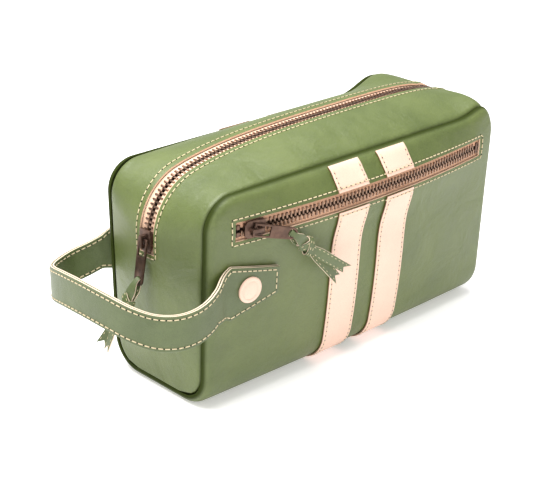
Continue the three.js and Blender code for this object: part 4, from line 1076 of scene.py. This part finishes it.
# %% Zip and stripe seams
zip_p = np.linspace(0.889, SLOT_END + 0.045, 1400)
seam_y = 8.6 + 2.4 * np.sin(math.pi * np.clip((zip_p - 0.9) / 3.2, 0, 1))
for sign in (1, -1):
    sew("bag", *line_on(gusset_band, zip_p, sign * seam_y, 0.12))
for end in (zip_p[0], zip_p[-1]):
    sew("bag", *line_on(gusset_band, end, np.linspace(-7.4, 7.4, 30), 0.12))

for k in (0, 1):
    for x in (stripe_start(k) + 1.9, stripe_start(k) + STRIPE_WIDTH - 1.9):
        for low, high in ((-wall_arc(SEAM_HEIGHT - 3), -wall_arc(window_high + 2.6)),
                          (-wall_arc(window_low - 2.6), wall_arc(SEAM_HEIGHT - 3))):
            v = np.linspace(low, high, 500)
            sew("stripes", *line_on(wrap_skin, x, v, STRIPE_LIFT + 0.05), pitch=3.4, size=0.7)

print("rows so far:", sum(len(rows) for rows in stitch_objects.values()))

# %% [markdown]
# The strap is sewn along both edges on both faces, and across the ends of its tabs. The laces are sewn on
# the face that points outwards.

# %% Strap and lace seams
for face in (-1, 1):
    for side in (-1, 1):
        u = np.linspace(-TAB_LENGTH + 2.2, LOOP_LENGTH + TAB_LENGTH - 2.2, 1500)
        if face > 0:
            u = u[(u > 0) & (u < LOOP_LENGTH)]
        share = side * (1 - 2.1 / strap_half(u))
        line, normals = line_on(strap_middle, u, share, face * (STRAP_PLY + 0.12))
        sew("strap", line, normals * face)
for u in (-TAB_LENGTH + 2.2, LOOP_LENGTH + TAB_LENGTH - 2.2):
    line, normals = line_on(strap_middle, u, np.linspace(-0.68, 0.68, 40), -STRAP_PLY - 0.12)
    sew("strap", line, -normals)

for group, seams in (("pocket_tassel", pocket_seams), ("top_tassel", top_seams)):
    for surface, length, half in seams:
        for side in (-1, 1):
            a = np.linspace(1.0, length - 1.0, 200)
            line, normals = line_on(surface, a, side * (1 - 1.1 / half), -LACE_THICKNESS / 2 - 0.03)
            sew(group, line, -normals, pitch=3.9, size=0.5)
print("rows:", sum(len(rows) for rows in stitch_objects.values()))

# %% [markdown]
# Now each group's rows become one mesh of threads and one of painted needle-hole shade.


# %% Make the stitches
def plain_join(name, objects):
    shape = bmesh.new()
    for obj in objects:
        shape.from_mesh(obj.data)
        bpy.data.objects.remove(obj)
    mesh = bpy.data.meshes.new(name)
    shape.to_mesh(mesh)
    shape.free()
    mesh.shade_smooth()
    mesh.set_sharp_from_angle(angle=math.radians(40))
    obj = bpy.data.objects.new(name, mesh)
    bpy.context.scene.collection.objects.link(obj)
    return obj


STITCH_KINDS = (("threads", stitch, THREAD, True), ("holes", hole_shade_piece, NEEDLE_HOLE_SHADE, False))
count = 0
for group, rows in stitch_objects.items():
    for kind, piece, material, wanted in STITCH_KINDS:
        parts = [row_of(f"{group}_{kind}", p, a, o, piece, material, size or (1, 1, 1))
                 for p, a, o, size in rows if (size is not None) == wanted]
        if not parts:
            continue
        obj = plain_join(f"{group}_stitch_{kind}", parts)
        count += len(obj.data.polygons)
        if group == "strap":
            finish_piece(obj, material, None, "green_leather")
            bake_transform(obj)
        else:
            body = "bag" if group in ("bag", "stripes") else group
            finish_piece(obj, material, body, "stripe_leather" if group == "stripes" else "green_leather")
bpy.data.objects.remove(stitch)
bpy.data.objects.remove(hole_shade_piece)
print("stitch faces:", count)

# %% [markdown]
# ## Stage
# A soft, bright set: a pale floor, a big light overhead and a weaker one in front.

# %% Camera, floor and lights
scene = bpy.context.scene
camera_data = bpy.data.cameras.new("camera")
camera_data.lens, camera_data.sensor_width = 91.18, 36
camera = bpy.data.objects.new("camera", camera_data)
camera.location = (-0.5761, -0.5819, 0.4097)
camera.rotation_euler = (math.radians(67.02), 0, math.radians(-42.90))
scene.collection.objects.link(camera)
scene.camera = camera

floor_mesh = bpy.data.meshes.new("floor")
floor_mesh.from_pydata([(-6, -6, 0), (6, -6, 0), (6, 6, 0), (-6, 6, 0)], [], [(0, 1, 2, 3)])
floor = bpy.data.objects.new("floor", floor_mesh)
scene.collection.objects.link(floor)
floor_material, _, _, floor_shader = new_material("Pale floor")
floor_shader.inputs["Base Color"].default_value = (0.93, 0.92, 0.92, 1)
floor_shader.inputs["Roughness"].default_value = 0.7
floor_shader.inputs["Specular IOR Level"].default_value = 0.2
floor_shader.inputs["Emission Color"].default_value = (1, 0.98, 0.98, 1)
floor_shader.inputs["Emission Strength"].default_value = 0.35
floor_mesh.materials.append(floor_material)


def area_light(name, place, target, size, power, colour=(1, 1, 1)):
    data = bpy.data.lights.new(name, "AREA")
    data.shape, data.size, data.energy, data.color = "SQUARE", size, power, colour
    light = bpy.data.objects.new(name, data)
    light.location = place
    light.rotation_euler = (Vector(target) - Vector(place)).to_track_quat("-Z", "Y").to_euler()
    scene.collection.objects.link(light)
    return light


area_light("overhead", (-0.2, 0.15, 1.15), (0, 0, 0.05), 1.1, 32)
area_light("front", (-1.0, -1.3, 0.7), (0, 0, 0.06), 1.2, 4)
world = bpy.data.worlds.new("white room")
world.use_nodes = True
world.node_tree.nodes["Background"].inputs["Color"].default_value = (1, 1, 1, 1)
world.node_tree.nodes["Background"].inputs["Strength"].default_value = 0.62
scene.world = world
scene.view_settings.view_transform = "Standard"
print("stage ready")
